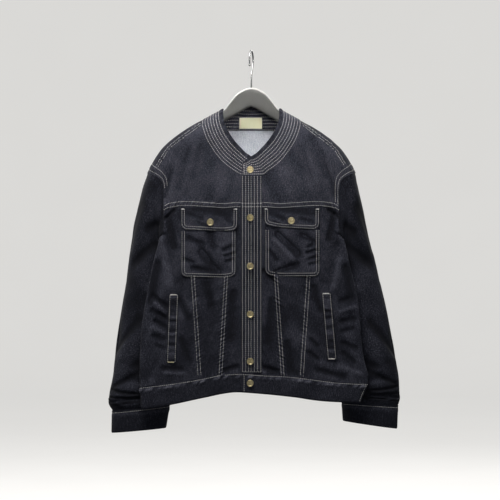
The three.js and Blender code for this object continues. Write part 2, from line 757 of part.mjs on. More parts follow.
function neckBackLines() {
  const inner = [ridge(neckRidge.inner), ...neckBackInner.map(({ x, z }) => back(x, z))];
  const outer = [ridge(neckRidge.outer), ...neckBackOuter.map(({ x, z }) => back(x, z))];
  const innerHalf = [...stations(inner, 0, 1, 2), ...stations(inner, 1, 5, 6).slice(1)];
  const outerHalf = [...stations(outer, 0, 1, 2), ...stations(outer, 1, 6, 6).slice(1)];
  const whole = (line) => [...line, ...mirrored(line).reverse().slice(1)];
  return { inner: whole(innerHalf), outer: whole(outerHalf) };
}
function buildNeckbandBack() {
  const { inner, outer } = neckBackLines();
  const grid = inner.map((p, i) => between(p, outer[i], 3));
  wallMesh("neckband_back", colours.denim, [eased(onBody(grid))], neckRaise, bandWall);
}

const lapEdge = { left: -lapLeftX - underlapGap, right: lapRightX };
const line = (from, to, count, make) =>
  even(count).map((u) => make(mix(from.x, to.x, u), mix(from.z, to.z, u)));

function buildFrontUpper(side) {
  const sign = side === "left" ? -1 : 1;
  const edge = lapEdge[side];
  const neck = stations(neckPaths(side).outer, 1, 7, 8).map((p) => ({ x: sign * p.x, t: p.t }));
  const shoulder = shoulderSeam.map(({ x, z }) => front(x, z));
  const seam = stations(shoulder, 0, shoulder.length - 1, 6);
  const top = [...neck, ...seam.slice(1)];
  const end = [...armhole.seamToChest];
  const chest = { x: edge, z: chestSeamZ };
  const foot = line(chest, { x: armholeX, z: chestSeamZ }, top.length - 1, front);
  const start = line({ x: edge, z: placketTopZ }, chest, rowsUpper, front);
  foot[foot.length - 1] = end[end.length - 1];
  const turn = (places) => places.map((p) => ({ x: sign * p.x, t: p.t }));
  const grid = onBody(patch(turn(top), turn(foot), turn(start), turn(end)));
  grid[grid.length - 1] = withSeam(side, grid[grid.length - 1], rowsTip, 1);
  wallMesh(`front_upper_${side}`, colours.denim, [eased(grid)], 0, wall);
}

function seamX(side, z, which) {
  const v = vSeams[side];
  const share = (chestSeamZ - z) / (chestSeamZ - vFootZ);
  return mix(v[`${which}Top`], v[`${which}Foot`], share);
}
// The place where a line that depends on z meets the waistband's seam.
function waistPlace(side, xAt) {
  const sign = side === "left" ? -1 : 1;
  let z = vFootZ;
  for (let i = 0; i < 6; i += 1) z = column(waistSeamFront, "x", "z", sign * xAt(z));
  return { x: xAt(z), z };
}
function buildFrontStrip(name, side, startAt, endAt, columns) {
  const sign = side === "left" ? -1 : 1;
  const rows = 11;
  const edgeLine = (xAt) => {
    const foot = waistPlace(side, xAt);
    return even(rows).map((v) => {
      const z = mix(chestSeamZ, foot.z, v);
      return front(sign * xAt(z), z);
    });
  };
  const start = edgeLine(startAt);
  const end = edgeLine(endAt);
  const top = line(
    { x: startAt(chestSeamZ), z: chestSeamZ }, { x: endAt(chestSeamZ), z: chestSeamZ }, columns,
    (x, z) => front(sign * x, z));
  const foot = even(columns).map((u) => {
    const x = sign * mix(waistPlace(side, startAt).x, waistPlace(side, endAt).x, u);
    return front(x, column(waistSeamFront, "x", "z", x));
  });
  wallMesh(name, colours.denim, [eased(onBody(patch(top, foot, start, end)))], 0, wall);
}
const foldPlace = (make, sign, z) => make(sign * (sideX(sign, z) - edgeShy), z);

const sideRows = 9;
const breakZ = -455; // on the V seam, the height that is level with the underarm
function buildFrontSide(side) {
  const sign = side === "left" ? -1 : 1;
  const columns = 8;
  const vAt = (z) => seamX(side, z, "outer");
  const foot = waistPlace(side, vAt);
  const sideEndZ = column(waistSeamFront, "x", "z", sign * sideX(sign, sideFootZ));
  const end = [
    ...armhole.chestToUnder.map((p) => ({ x: sign * p.x, t: p.t })),
    ...even(sideRows).slice(1).map((v) => foldPlace(front, sign, mix(underarmZ, sideEndZ, v))),
  ];
  const start = [
    ...even(rowsUnder).map((v) => mix(chestSeamZ, breakZ, v)),
    ...even(sideRows).slice(1).map((v) => mix(breakZ, foot.z, v)),
  ].map((z) => front(sign * vAt(z), z));
  const shares = crowded(columns);
  const top = shares.map((u) => front(sign * mix(vAt(chestSeamZ), armholeX, u), chestSeamZ));
  top[columns] = end[0];
  const bottom = shares.map((u) => {
    const x = sign * mix(foot.x, sideX(sign, sideEndZ) - edgeShy, u);
    return front(x, column(waistSeamFront, "x", "z", x));
  });
  bottom[columns] = end[end.length - 1];
  const grid = onBody(patch(top, bottom, start, end, shares));
  const edge = grid[columns];
  const under = rowsTip + rowsUpper;
  const seamLine = withSeam(side, edge.slice(0, rowsUnder + 1), under, 1);
  grid[columns] = [...seamLine, ...edge.slice(rowsUnder + 1)];
  wallMesh(`front_side_${side}`, colours.denim, [eased(grid)], 0, wall);
}

// Shares of the yoke's depth, closer together where it turns over the hanger.
const yokeShares = [0, 0.05, 0.11, 0.2, 0.33, 0.5, 0.74, 1];
const yokeFootX = 108; // half width of the yoke's middle patch at its foot
function buildYoke() {
  const neckRows = neckBackLines().outer;
  const footLeft = { x: -yokeFootX, z: backYokeZ };
  const footRight = { x: yokeFootX, z: backYokeZ };
  const footLine = line(footLeft, footRight, neckRows.length - 1, back);
  const shares = yokeShares;
  const down = (sign) => shares.map((v) => {
    const foot = back(yokeFootX, backYokeZ);
    return { x: sign * mix(neckRidge.outer, yokeFootX, v), t: mix(0, foot.t, v) };
  });
  const centre = patch(mirrored(neckRows), footLine, down(-1), down(1), null, shares);
  const shoulderPart = (sign) => {
    const columns = 6;
    const shoulder = shoulderSeam.map(({ x, z }) => front(x, z));
    const seam = stations(shoulder, 0, shoulder.length - 1, columns);
    const { outer } = neckPaths("right");
    const overNeck = stations(outer, 7, 8, rowsTip);
    const ridgePlaces = even(columns).map((u) => ridge(mix(neckRidge.outer, shoulderTipX, u)));
    const tip = [...armhole.tipToSeam].reverse();
    const ahead = patch(seam, ridgePlaces, overNeck, tip);
    const behindEnd = [...armhole.tipToBack, ...armhole.backToYoke.slice(1)];
    const foot = even(columns).map((u) => back(mix(yokeFootX, yokeArmholeX, u), backYokeZ));
    foot[columns] = behindEnd[rowsBackTip + rowsBackYoke];
    const behind = patch(ridgePlaces, foot, down(1), behindEnd, null, shares);
    const turn = (grid) => grid.map((l) => l.map((p) => ({ x: sign * p.x, t: p.t })));
    return [turn(ahead), turn(behind)].map((g) => (sign > 0 ? g : [...g].reverse()));
  };
  const [leftAhead, leftBehind] = shoulderPart(-1).map(onBody);
  const [rightAhead, rightBehind] = shoulderPart(1).map(onBody);
  const middle = onBody(centre);
  const seamEnd = (grid, side, at, from, step) => {
    grid[at] = withSeam(side, grid[at], from, step);
  };
  seamEnd(leftAhead, "left", 0, rowsTip, -1);
  seamEnd(leftBehind, "left", 0, 0, -1);
  seamEnd(rightAhead, "right", rightAhead.length - 1, rowsTip, -1);
  seamEnd(rightBehind, "right", rightBehind.length - 1, 0, -1);
  yokeEdges(leftAhead, leftBehind, middle, rightAhead, rightBehind);
  wallMesh("back_yoke", colours.denim,
    [leftAhead, leftBehind, middle, rightAhead, rightBehind], 0, wall);
}
// Pulls the outer edges of the yoke's joined patches back by half a seam gap.
function yokeEdges(leftAhead, leftBehind, middle, rightAhead, rightBehind) {
  const pull = (corner, next) => {
    const step = next.at.clone().sub(corner.at).setLength(half);
    return { ...corner, at: corner.at.clone().add(step) };
  };
  const columnEdge = (grid, at, next) => {
    grid[at] = grid[at].map((corner, j) => pull(corner, grid[next][j]));
  };
  const rowEdge = (grid, at, next) => grid.forEach((lineOf) => {
    lineOf[at] = pull(lineOf[at], lineOf[next]);
  });
  const last = (list) => list.length - 1;
  columnEdge(leftAhead, 0, 1);
  columnEdge(leftBehind, 0, 1);
  columnEdge(rightAhead, last(rightAhead), last(rightAhead) - 1);
  columnEdge(rightBehind, last(rightBehind), last(rightBehind) - 1);
  [leftAhead, rightAhead].forEach((grid) => rowEdge(grid, 0, 1));
  [leftBehind, middle, rightBehind].forEach((grid) => {
    const foot = last(grid[0]);
    rowEdge(grid, foot, foot - 1);
  });
  // Round the neck: the front edge of each shoulder, then the middle's top edge.
  columnEdge(leftAhead, last(leftAhead), last(leftAhead) - 1);
  columnEdge(rightAhead, 0, 1);
  const top = middle.map((lineOf) => lineOf[0]);
  for (let i = 1; i < last(middle); i += 1) middle[i][0] = pull(top[i], middle[i][1]);
  // The corners where the three patches of a side meet stay one point.
  const leftCorner = leftAhead[last(leftAhead)][last(leftAhead[0])];
  leftBehind[last(leftBehind)][0] = leftCorner;
  middle[0][0] = leftCorner;
  const rightCorner = rightAhead[0][last(rightAhead[0])];
  rightBehind[0][0] = rightCorner;
  middle[last(middle)][0] = rightCorner;
}

function buildBack() {
  const columns = 16;
  const edge = (sign) => {
    const footX = sideX(sign, sideFootZ);
    const footZ = column(waistSeamBack, "x", "z", sign * footX);
    return [
      ...armhole.yokeToUnder.map((p) => ({ x: sign * p.x, t: p.t })),
      ...even(sideRows).slice(1).map((v) => foldPlace(back, sign, mix(underarmZ, footZ, v))),
    ];
  };
  const start = edge(-1);
  const end = edge(1);
  const shares = crowdedBothWays(columns);
  const last = start.length - 1;
  const top = shares.map((u) => back(mix(-yokeArmholeX, yokeArmholeX, u), backYokeZ));
  const foot = shares.map((u) => {
    const x = mix(start[last].x, end[last].x, u);
    return back(x, column(waistSeamBack, "x", "z", x));
  });
  top[0] = start[0];
  top[columns] = end[0];
  foot[0] = start[last];
  foot[columns] = end[last];
  const grid = onBody(patch(top, foot, start, end, shares));
  const from = -(rowsBackTip + rowsBackYoke);
  [["left", 0], ["right", columns]].forEach(([side, at]) => {
    const seamLine = withSeam(side, grid[at].slice(0, rowsBackUnder + 1), from, -1);
    grid[at] = [...seamLine, ...grid[at].slice(rowsBackUnder + 1)];
  });
  wallMesh("back_panel", colours.denim, [eased(grid)], 0, wall);
}

// Waistband pieces lie between two tables of heights.
function buildWaistband(name, make, seam, hem, x0, x1, shares, raise) {
  const grid = shares.map((u) => {
    const flatX = mix(x0, x1, u);
    const heightAt = (x, v) => mix(column(seam, "x", "z", x), column(hem, "x", "z", x), v);
    // Towards the side the band is stretched or drawn in to end on the side fold.
    const share = Math.max(0, (Math.abs(flatX) - waistPlainX) / (waistReach - waistPlainX));
    return even(3).map((v) => {
      let x = flatX;
      for (let i = 0; i < 4; i += 1) {
        const reach = sideX(flatX, heightAt(x, v)) - edgeShy;
        x = flatX * mix(1, reach / waistReach, share);
      }
      return make(x, heightAt(x, v));
    });
  });
  wallMesh(name, colours.denim, [eased(onBody(grid), bandTrim)], raise, bandWall);
}
function buildWaistbands() {
  const out = crowded(11);
  const over = (at) => waistRaise + waistLapRise * ease(46, 27, at.x);
  const inFront = (name, from, to, raise) =>
    buildWaistband(name, front, waistSeamFront, hemFront, from, to, out, raise);
  inFront("waistband_front_left", waistUnderX, -waistReach, waistRaise);
  inFront("waistband_front_right", lapLeftX, waistReach, over);
  const both = crowdedBothWays(18);
  buildWaistband(
    "waistband_back", back, waistSeamBack, hemBack, -waistReach, waistReach, both, waistRaise);
}

// A patch that lies on the front: its edges are x at each height, and its lower corners round.
const cornerShares = [0.96, 0.84, 0.6, 0.3];
const overlayRow = 26; // height of one row of a plain stretch
function overlay(name, topZ, footZ, leftAt, rightAt, corner, columns, raise) {
  const depth = topZ - Math.max(footZ(0), footZ(1));
  const plain = Math.max(2, Math.round(depth / overlayRow));
  const straight = even(plain).map((v) => v * (1 - corner / depth));
  const rounded = cornerShares.map((c) => 1 - (corner / depth) * c);
  const downShares = corner ? [...straight, ...rounded, 1] : straight;
  const grid = even(columns).map((u) => downShares.map((v) => {
    const z = mix(topZ, footZ(u), v);
    const rise = (1 - v) * (topZ - footZ(u));
    const within = Math.max(0, corner - rise);
    const inset = corner - Math.sqrt(Math.max(0, corner * corner - within * within));
    return front(mix(leftAt(z) + inset, rightAt(z) - inset, u), z);
  }));
  wallMesh(name, colours.denim, [onBody(grid)], raise, wall);
}
// Left and right edges of a piece given by its distances from the centre line.
const edgesOf = (side, p) => (side === "left" ? [-p.outer, -p.inner] : [p.inner, p.outer]);
function footOf(side, p) {
  const left = side === "left" ? p.footOuter : p.footInner;
  const right = side === "left" ? p.footInner : p.footOuter;
  return (u) => mix(left, right, u);
}
const onPanel = lap + wall; // raise of the outer face of a patch
const onPocket = 2 * onPanel + 0.2;
function buildPocket(side) {
  const [left, right] = edgesOf(side, pockets[side]);
  const foot = footOf(side, pockets[side]);
  overlay(`pocket_${side}`, pocketTopZ, foot, () => left, () => right, pocketCorner, 7, onPanel);
}
function buildFlap(side) {
  const [left, right] = edgesOf(side, flaps[side]);
  const foot = footOf(side, flaps[side]);
  overlay(`flap_${side}`, flapTopZ, foot, () => left, () => right, flapCorner, 7, onPocket);
}
function buildWelt(side) {
  const w = welts[side];
  const left = (z) => mix(w.topX, w.footX, (w.topZ - z) / (w.topZ - w.footZ));
  const right = (z) => left(z) + weltWidth;
  overlay(`welt_${side}`, w.topZ, () => w.footZ, left, right, 0, 2, onPanel);
}

function buildPlacket() {
  const foot = () => column(waistSeamFront, "x", "z", 0) + placketFootGap;
  const top = placketTopZ - seamGap;
  overlay("placket", top, foot, () => lapLeftX, () => lapRightX, 0, 3, onPanel);
  const inner = -lapEdge.left + seamGap;
  overlay("underlap", top - half, foot, () => inner, () => lapRightX - seamGap, 0, 2, 0);
}

// A snap's cap: a low dome on the cloth, its axis along the cloth's normal.
function buildSnap(name, x, z, raise) {
  const rim = snapRadius;
  const profile = [
    [0, 0], [rim * 0.9, 0], [rim, snapHeight * 0.3], [rim * 0.85, snapHeight * 0.75],
    [rim * 0.45, snapHeight * 0.96], [0, snapHeight],
  ].map(([r, h]) => new THREE.Vector2(r, h));
  const { at, normal } = bodyPoint(front(x, z));
  const geometry = new THREE.LatheGeometry(profile, 14);
  const mesh = addMesh(name, colours.brass, geometry);
  mesh.quaternion.setFromUnitVectors(new THREE.Vector3(0, 1, 0), normal);
  mesh.position.copy(at).addScaledVector(normal, raise);
}

function buildLabel() {
  const columns = 6;
  const grid = even(columns).map((u) => even(2).map((v) =>
    back(mix(label.left, label.right, u), mix(label.top, label.foot, v))));
  const raise = neckRaise - bandWall - label.gap;
  wallMesh("neck_label", colours.label, [onBody(grid)], raise, label.thick);
}

// Hanger: rings across its length, each an ellipse between its top and its foot.
const hangerTopAt = (x) =>
  (x < hangerShoulderX ? column(hangerTop, "x", "z", x) : ridgeZ(x) - hangerUnderRidge);
// Share of its full section that the arm has left at x, where its end rounds off.
function hangerShare(x) {
  const past = Math.max(0, x - hangerReach + hangerRound) / (hangerRound + 1);
  return Math.sqrt(Math.max(hangerEndShare, 1 - past * past));
}
function buildHanger() {
  const sides = hangerSides;
  const places = [...hangerJoints.map((x) => -x), ...hangerJoints.slice(0, -1).reverse()];
  const points = [];
  places.forEach((place) => {
    const x = Math.abs(place);
    const top = hangerTopAt(x);
    const foot = column(hangerFoot, "x", "z", x);
    const share = hangerShare(x);
    const depth = column(hangerDepth, "x", "depth", x) * share;
    const middle = (top + foot) / 2;
    const tall = ((top - foot) / 2) * share;
    for (let k = 0; k < sides; k += 1) {
      const a = (k / sides) * Math.PI * 2;
      points.push(new THREE.Vector3(place, depth * Math.sin(a), middle + tall * Math.cos(a)));
    }
  });
  const triangles = [];
  for (let i = 0; i + 1 < places.length; i += 1) {
    for (let k = 0; k < sides; k += 1) {
      const a = i * sides + k;
      const b = i * sides + ((k + 1) % sides);
      triangles.push(a, b, b + sides, a, b + sides, a + sides);
    }
  }
  const lastRing = (places.length - 1) * sides;
  for (let k = 1; k + 1 < sides; k += 1) {
    triangles.push(0, k + 1, k, lastRing, lastRing + k, lastRing + k + 1);
  }
  solid("hanger_body", colours.hanger, points, triangles);
}

function buildHook() {
  const points = hookLine.map(({ y, z }) => new THREE.Vector3(y * hookTurn, y, z));
  const path = new THREE.CatmullRomCurve3(points, false, "centripetal");
  const section = new THREE.Shape().absarc(0, 0, hookWire, 0, Math.PI * 2, false);
  const geometry =
    new THREE.ExtrudeGeometry(section, { steps: 34, extrudePath: path, curveSegments: 4 });
  addMesh("hanger_hook", colours.steel, geometry);
}

["left", "right"].forEach((side) => {
  buildSleeve(side);
  buildCuff(side);
  buildNeckbandFront(side);
  buildFrontUpper(side);
  const inner = (z) => seamX(side, z, "inner");
  const outer = (z) => seamX(side, z, "outer");
  buildFrontStrip(`front_centre_${side}`, side, () => lapEdge[side], inner, 2);
  buildFrontStrip(`front_middle_${side}`, side, inner, outer, 4);
  buildFrontSide(side);
  buildPocket(side);
  buildFlap(side);
  buildWelt(side);
  buildSnap(`flap_snap_${side}`, flaps[side].snapX, flaps[side].snapZ, onPocket + seamGap);
});
buildNeckbandBack();
buildYoke();
buildBack();
buildPlacket();
buildWaistbands();
snapHeights.forEach((z, i) => {
  const raise = i === 0 ? neckRaise + neckLapRise : onPanel;
  buildSnap(`snap_${i + 1}`, snapX, z, raise + seamGap);
});
buildSnap("snap_waistband", snapX, waistSnapZ, waistRaise + waistLapRise + seamGap);
buildLabel();
buildHanger();
buildHook();

export default jacket;
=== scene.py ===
# %% [markdown]
# # A denim jacket on its hanger
# The jacket hangs closed on a wide grey hanger. It is cut from dark, unwashed denim, has no
# collar, and is covered in rows of light stitching.
# A garment could be modelled from a base body and sculpted. Here each cut piece is a small
# cloth shell instead, laid on one shared set of surfaces, because a sewn thing is judged by its
# seams: they must meet, carry their stitches and pucker between them.

# %% Frame
import math

import bmesh
import bpy
import numpy as np
from mathutils import Matrix, Vector


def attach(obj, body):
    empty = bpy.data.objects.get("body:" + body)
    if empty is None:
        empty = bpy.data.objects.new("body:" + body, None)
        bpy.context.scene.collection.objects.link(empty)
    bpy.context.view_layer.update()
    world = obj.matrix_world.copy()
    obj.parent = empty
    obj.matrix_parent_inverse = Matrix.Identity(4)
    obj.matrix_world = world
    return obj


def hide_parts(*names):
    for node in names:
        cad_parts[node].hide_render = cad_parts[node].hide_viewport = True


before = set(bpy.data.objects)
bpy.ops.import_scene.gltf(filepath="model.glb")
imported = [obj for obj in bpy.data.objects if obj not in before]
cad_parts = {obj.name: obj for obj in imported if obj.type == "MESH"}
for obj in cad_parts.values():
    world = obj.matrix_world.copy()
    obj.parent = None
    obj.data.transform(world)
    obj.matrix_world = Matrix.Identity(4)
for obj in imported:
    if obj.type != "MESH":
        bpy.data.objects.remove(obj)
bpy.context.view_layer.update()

MM = 0.001  # the pattern is in millimetres, Blender's meshes in metres
SIDES = ((-1, "left"), (1, "right"))  # as the viewer sees them

# %% [markdown]
# ## Curves through tables
# A pattern maker marks a few points and draws a smooth line through them. The same is done here:
# a table holds the marked points, and `smooth` reads any place between them with a cubic that
# passes through each one. A spline object could do this too, but a function is easier to use
# for whole arrays of points.

# %% Smooth reading of a table
def smooth(table, at):
    """Value at a key, from a table of (key, value) rows with growing keys."""
    keys, values = np.array(table, float).T
    k = np.arange(len(keys))
    after, before = np.minimum(k + 1, k[-1]), np.maximum(k - 1, 0)
    slopes = (values[after] - values[before]) / (keys[after] - keys[before])
    v = np.clip(at, keys[0], keys[-1])
    i = np.clip(np.searchsorted(keys, v, side="right") - 1, 0, len(keys) - 2)
    span = keys[i + 1] - keys[i]
    t = (v - keys[i]) / span
    rise = values[i + 1] - values[i]
    s0, s1 = slopes[i] * span, slopes[i + 1] * span
    return values[i] + t * (s0 + t * (3 * rise - 2 * s0 - s1 + t * (s0 + s1 - 2 * rise)))


def mix(a, b, t):
    return a + (b - a) * t


def ease(start, end, v):
    """From 0 at the start to 1 at the end, level at both."""
    t = np.clip((v - start) / (end - start), 0, 1)
    return t * t * (3 - 2 * t)


def path(line, first=0, last=None):
    """Place at a share of the way between two marks of a line, on one smooth curve."""
    line = np.asarray(line, float)
    lengths = np.concatenate([[0], np.cumsum(np.hypot(*np.diff(line, axis=0).T))])
    end = len(line) - 1 if last is None else last

    def at(share):
        s = mix(lengths[first], lengths[end], np.asarray(share, float))
        return np.array([smooth(list(zip(lengths, line[:, k])), s) for k in (0, 1)])
    return at


print("halfway between 0 and 1 a smooth table reads", smooth([(0, 0), (1, 1), (2, 0)], 0.5))

# %% [markdown]
# ## The hanging body
# The shoulders drape over the hanger along one ridge line. In front and behind, the cloth turns
# over that ridge on a quarter of an ellipse and then falls straight. Every place on the body is
# named by x, across, and t, the length of cloth from the ridge: negative in front and positive
# behind. So t is what a tape measure would read straight down from the shoulder. The ridge
# slopes, so a level line leans in x and t: areas are right there, and heights of wide pieces
# come out too long.

# %% Sizes of the body
RIDGE_DROP, RIDGE_LENGTH = 60, 80
FRONT_DEPTH, BACK_DEPTH = 42, 36
FOLD_ROUND, FOLD_Y, FOLD_BACK_Y = 15, -30, -23
UNDERARM_Z = -440
EDGE_SHY = 0.003
RIDGE = [(0, -100), (30, -112), (67, -137), (112, -161.5), (160, -188), (192, -211),
         (216, -234), (236, -263), (250, -294)]
SIDE = {
    -1: [(-862, 262), (-838, 264), (-800, 267), (-776, 268), (-740, 267), (-668, 263),
         (-588, 251), (-509, 235), (-475, 226), (-456, 220), (-440, 212)],
    1: [(-862, 261), (-838, 263), (-800, 278), (-776, 280), (-740, 270), (-668, 262),
        (-588, 254), (-509, 235), (-475, 228), (-456, 223), (-440, 212)],
}
FLARE_ABOVE_UNDERARM = 1.2
# Large folds: x and z of both ends, width, depth. A negative depth stands proud.
FRONT_FOLDS = [
    (150, -222, 200, -345, 15, 5), (120, -225, 186, -358, 15, -4),
    (-186, -250, -200, -350, 15, 4), (-118, -250, -150, -345, 16, 2.5),
    (206, -470, 190, -556, 15, 4), (-206, -470, -188, -556, 15, 4),
    (232, -640, 240, -770, 14, 4), (-231, -650, -238, -780, 14, 4),
    (98, -590, 112, -740, 18, 3), (-100, -600, -94, -750, 18, 3),
]
BACK_FOLDS = [
    (-96, -360, -128, -720, 26, 8), (104, -350, 122, -740, 26, 7),
    (-8, -370, 14, -800, 34, -6), (52, -470, 60, -790, 20, 4),
]


# %% Surface of the body
def fold_depth(folds, u, v):
    """Sum of soft troughs: each falls off on both sides of its line like a bell curve."""
    total = np.zeros_like(np.asarray(u, float))
    for u0, v0, u1, v1, width, depth in folds:
        du, dv = u1 - u0, v1 - v0
        along = np.clip(((u - u0) * du + (v - v0) * dv) / (du * du + dv * dv), 0, 1)
        away = np.hypot(u - u0 - along * du, v - v0 - along * dv) / width
        total = total + depth * np.exp(-away * away)
    return total


def ridge_z(x):
    return smooth(RIDGE, np.abs(x))


def side_x(sign, z):
    low = smooth(SIDE[sign], z)
    return low + FLARE_ABOVE_UNDERARM * np.maximum(0, z - UNDERARM_Z)


def side_at(x, z):
    return np.where(x < 0, side_x(-1, z), side_x(1, z))


def spine_y(z):
    return FOLD_Y * ease(-300, UNDERARM_Z, z)


def front_y(x, z):
    return -FRONT_DEPTH + 6 * (x / 260) ** 2 + fold_depth(FRONT_FOLDS, x, z)


def back_y(x, z):
    forward = ease(120, 200, np.abs(x)) * ease(-320, UNDERARM_Z, z)
    full = BACK_DEPTH - fold_depth(BACK_FOLDS, x, z) - 10 * ease(-330, -700, z)
    return mix(full, FOLD_BACK_Y, forward)


def drop_at(t):
    length = np.abs(t)
    turn = RIDGE_DROP * (1 - np.cos(np.minimum(length / RIDGE_LENGTH, 1) * math.pi / 2))
    return np.where(length > RIDGE_LENGTH, RIDGE_DROP + length - RIDGE_LENGTH, turn)


def length_at(drop):
    turn = np.arccos(1 - np.clip(drop, 0, RIDGE_DROP) / RIDGE_DROP) * RIDGE_LENGTH / (math.pi / 2)
    return np.where(drop > RIDGE_DROP, RIDGE_LENGTH + drop - RIDGE_DROP, turn)


def front(x, z):
    """Place in front at height z."""
    return np.array([x, -length_at(ridge_z(x) - z)], float)


def back(x, z):
    return np.array([x, length_at(ridge_z(x) - z)], float)


def outside(face, x, y, z):
    """Zero on the cloth and growing outwards, so its slope is the cloth's normal."""
    side = np.maximum(0, (np.abs(x) - side_at(x, z) + FOLD_ROUND) / FOLD_ROUND)
    top = np.maximum(0, 1 - (ridge_z(x) - z) / RIDGE_DROP)
    full = np.where(face < 0, front_y(x, z), back_y(x, z))
    deep = (y - spine_y(z)) / (full - spine_y(z))
    return deep, side * side + top * top, full


def body(place):
    """Points and normals on the hanging body, in millimetres."""
    x, t = place
    face = np.where(t < 0, -1, 1)
    z = ridge_z(x) - drop_at(t)
    _, rounding, full = outside(face, x, 0 * x, z)
    y = spine_y(z) + (full - spine_y(z)) * np.sqrt(np.maximum(0, 1 - rounding))

    def field(dx, dy, dz):
        deep, turn, _ = outside(face, x + dx, y + dy, z + dz)
        return deep * deep + turn
    e = 0.4
    slope = np.array([
        field(e, 0, 0) - field(-e, 0, 0),
        field(0, e, 0) - field(0, -e, 0),
        field(0, 0, e) - field(0, 0, -e),
    ])
    return np.array([x, y, z]), slope / np.linalg.norm(slope, axis=0)


print("shoulder point", body(np.array([[150.0], [0.0]]))[0].ravel().round(1))

# %% [markdown]
# ## Small relief
# Denim is stiff, so it creases in short, sharp ripples near seams and in long shallow ones
# elsewhere. A displacement texture could raise them, but then nothing would line up with the
# seams. Here a table holds the creases, uneven as in worn cloth, and a
# function of the distance to each seam adds its welt and its puckers.

# %% Uneven ripples
def ripple(u, v, seed):
    """Smooth noise from -1 to 1 whose hills are one unit apart."""
    lattice = np.random.default_rng(seed).uniform(-1, 1, (64, 64))
    i, j = np.floor(u).astype(int), np.floor(v).astype(int)
    fu, fv = ease(0, 1, u - i), ease(0, 1, v - j)

    def corner(a, b):
        return lattice[(i + a) % 64, (j + b) % 64]
    low = mix(corner(0, 0), corner(1, 0), fu)
    high = mix(corner(0, 1), corner(1, 1), fu)
    return mix(low, high, fv)


def line_field(line, x, t):
    """Distance from each place to a line of places, the length along it, and the side."""
    line = np.asarray(line, float)
    best = np.full(np.shape(x), 1e9)
    along, side, start = np.zeros_like(best), np.zeros_like(best), 0.0
    for a, b in zip(line[:-1], line[1:]):
        step = b - a
        length = np.hypot(*step)
        share = np.clip(((x - a[0]) * step[0] + (t - a[1]) * step[1]) / length ** 2, 0, 1)
        away_x, away_t = x - a[0] - share * step[0], t - a[1] - share * step[1]
        away = np.hypot(away_x, away_t)
        near = away < best
        best = np.where(near, away, best)
        along = np.where(near, start + share * length, along)
        side = np.where(near, np.sign(step[0] * away_t - step[1] * away_x), side)
        start += length
    return best, along, side


# %% [markdown]
# ## Seam lines
# Each seam is a short line of places. The same lines serve three things: the edge between two
# pieces, the raised welt of the felled seam, and the stitch rows that run beside it.

# %% Table of seams
CHEST_Z, BACK_YOKE_Z, PLACKET_TOP_Z = -371, -330, -297
LAP_LEFT, LAP_RIGHT = -22.6, 25.2
ARMHOLE_X, SHOULDER_TIP_X = 210, 250
FOLD_FOOT_Z = -805  # about where the side folds meet the waist seam
ARMHOLE_FRONT = [(250, -294), (243, -294.5), (233, -298), (221, -305), (213, -315), (210, -333),
                 (210, -371), (209, -412), (209.4, -427), (210.6, -435.5), (212, -440)]
ARMHOLE_BACK = [(250, -294), (243, -295), (233, -299), (222, -311), (214, -330), (210, -356),
                (209, -412), (209.4, -427), (210.6, -435.5), (212, -440)]
SHOULDER = [(119, -178), (157, -205.5), (193, -233), (212, -260), (233, -298)]
NECK_INNER = [(21, -267), (6, -249), (28, -229), (44, -210), (56, -191), (65, -169), (67.5, -152)]
NECK_OUTER = [(23, -297), (40, -289), (62, -273), (80, -255), (99, -228), (112, -202),
              (119, -178)]
NECK_RIDGE = (67.5, 118)
NECK_LAP_X = 21
NECK_BACK_INNER = [(65, -139.5), (57, -138), (44, -133), (24, -129), (0, -127.5)]
NECK_BACK_OUTER = [(115, -172), (106, -181), (90, -187), (60, -189.5), (30, -189), (0, -189)]
V_SEAMS = {-1: {"outer": (151.6, 123.5), "inner": (50.3, 74.5)},
           1: {"outer": (148.6, 120.5), "inner": (47.3, 75.6)}}
V_FOOT_Z, V_SHOWN_Z = -785, (-540, -779)
# The waist seam and the hem: key -1 is the front and key 1 the back.
WAIST_SEAM = {
    -1: [(-290, -808), (-202, -797), (-128, -786), (-74, -775), (-25, -772), (23, -775),
         (84, -778), (123, -782), (208, -793), (290, -797)],
    1: [(-290, -808), (-202, -797), (-128, -786), (-74, -777), (0, -771), (84, -777),
        (123, -782), (208, -793), (290, -797)],
}
HEM = {
    -1: [(-290, -863), (-196, -849), (-116, -832), (-48, -819), (0, -820), (101, -830),
         (155, -838), (208, -842), (290, -843)],
    1: [(-290, -863), (-196, -848.5), (-116, -831.5), (-48, -818.5), (0, -818), (101, -829),
        (155, -837), (208, -841.5), (290, -843)],
}
print(len(NECK_OUTER) + len(NECK_INNER), "marks on the neckband's front edges")

# %% Lines of the seams
def places(make, rows, sign=1):
    """A list of places from x and z, mirrored to the viewer's left by sign -1."""
    return np.array([make(sign * x, z) for x, z in rows])


def v_seam_x(sign, which, z):
    top, foot = V_SEAMS[sign][which]
    return sign * mix(top, foot, (CHEST_Z - z) / (CHEST_Z - V_FOOT_Z))


def v_seam(sign, which):
    """The part of a V seam that shows below the pocket."""
    heights = np.linspace(*V_SHOWN_Z, 6)
    return np.array([front(v_seam_x(sign, which, z), z) for z in heights])


def offset(line, by):
    """The line moved sideways by a distance on the flat cloth."""
    line = np.asarray(line, float)
    ahead = np.gradient(line, axis=0)
    ahead /= np.linalg.norm(ahead, axis=1)[:, None]
    return line + by * np.stack([-ahead[:, 1], ahead[:, 0]], axis=1)


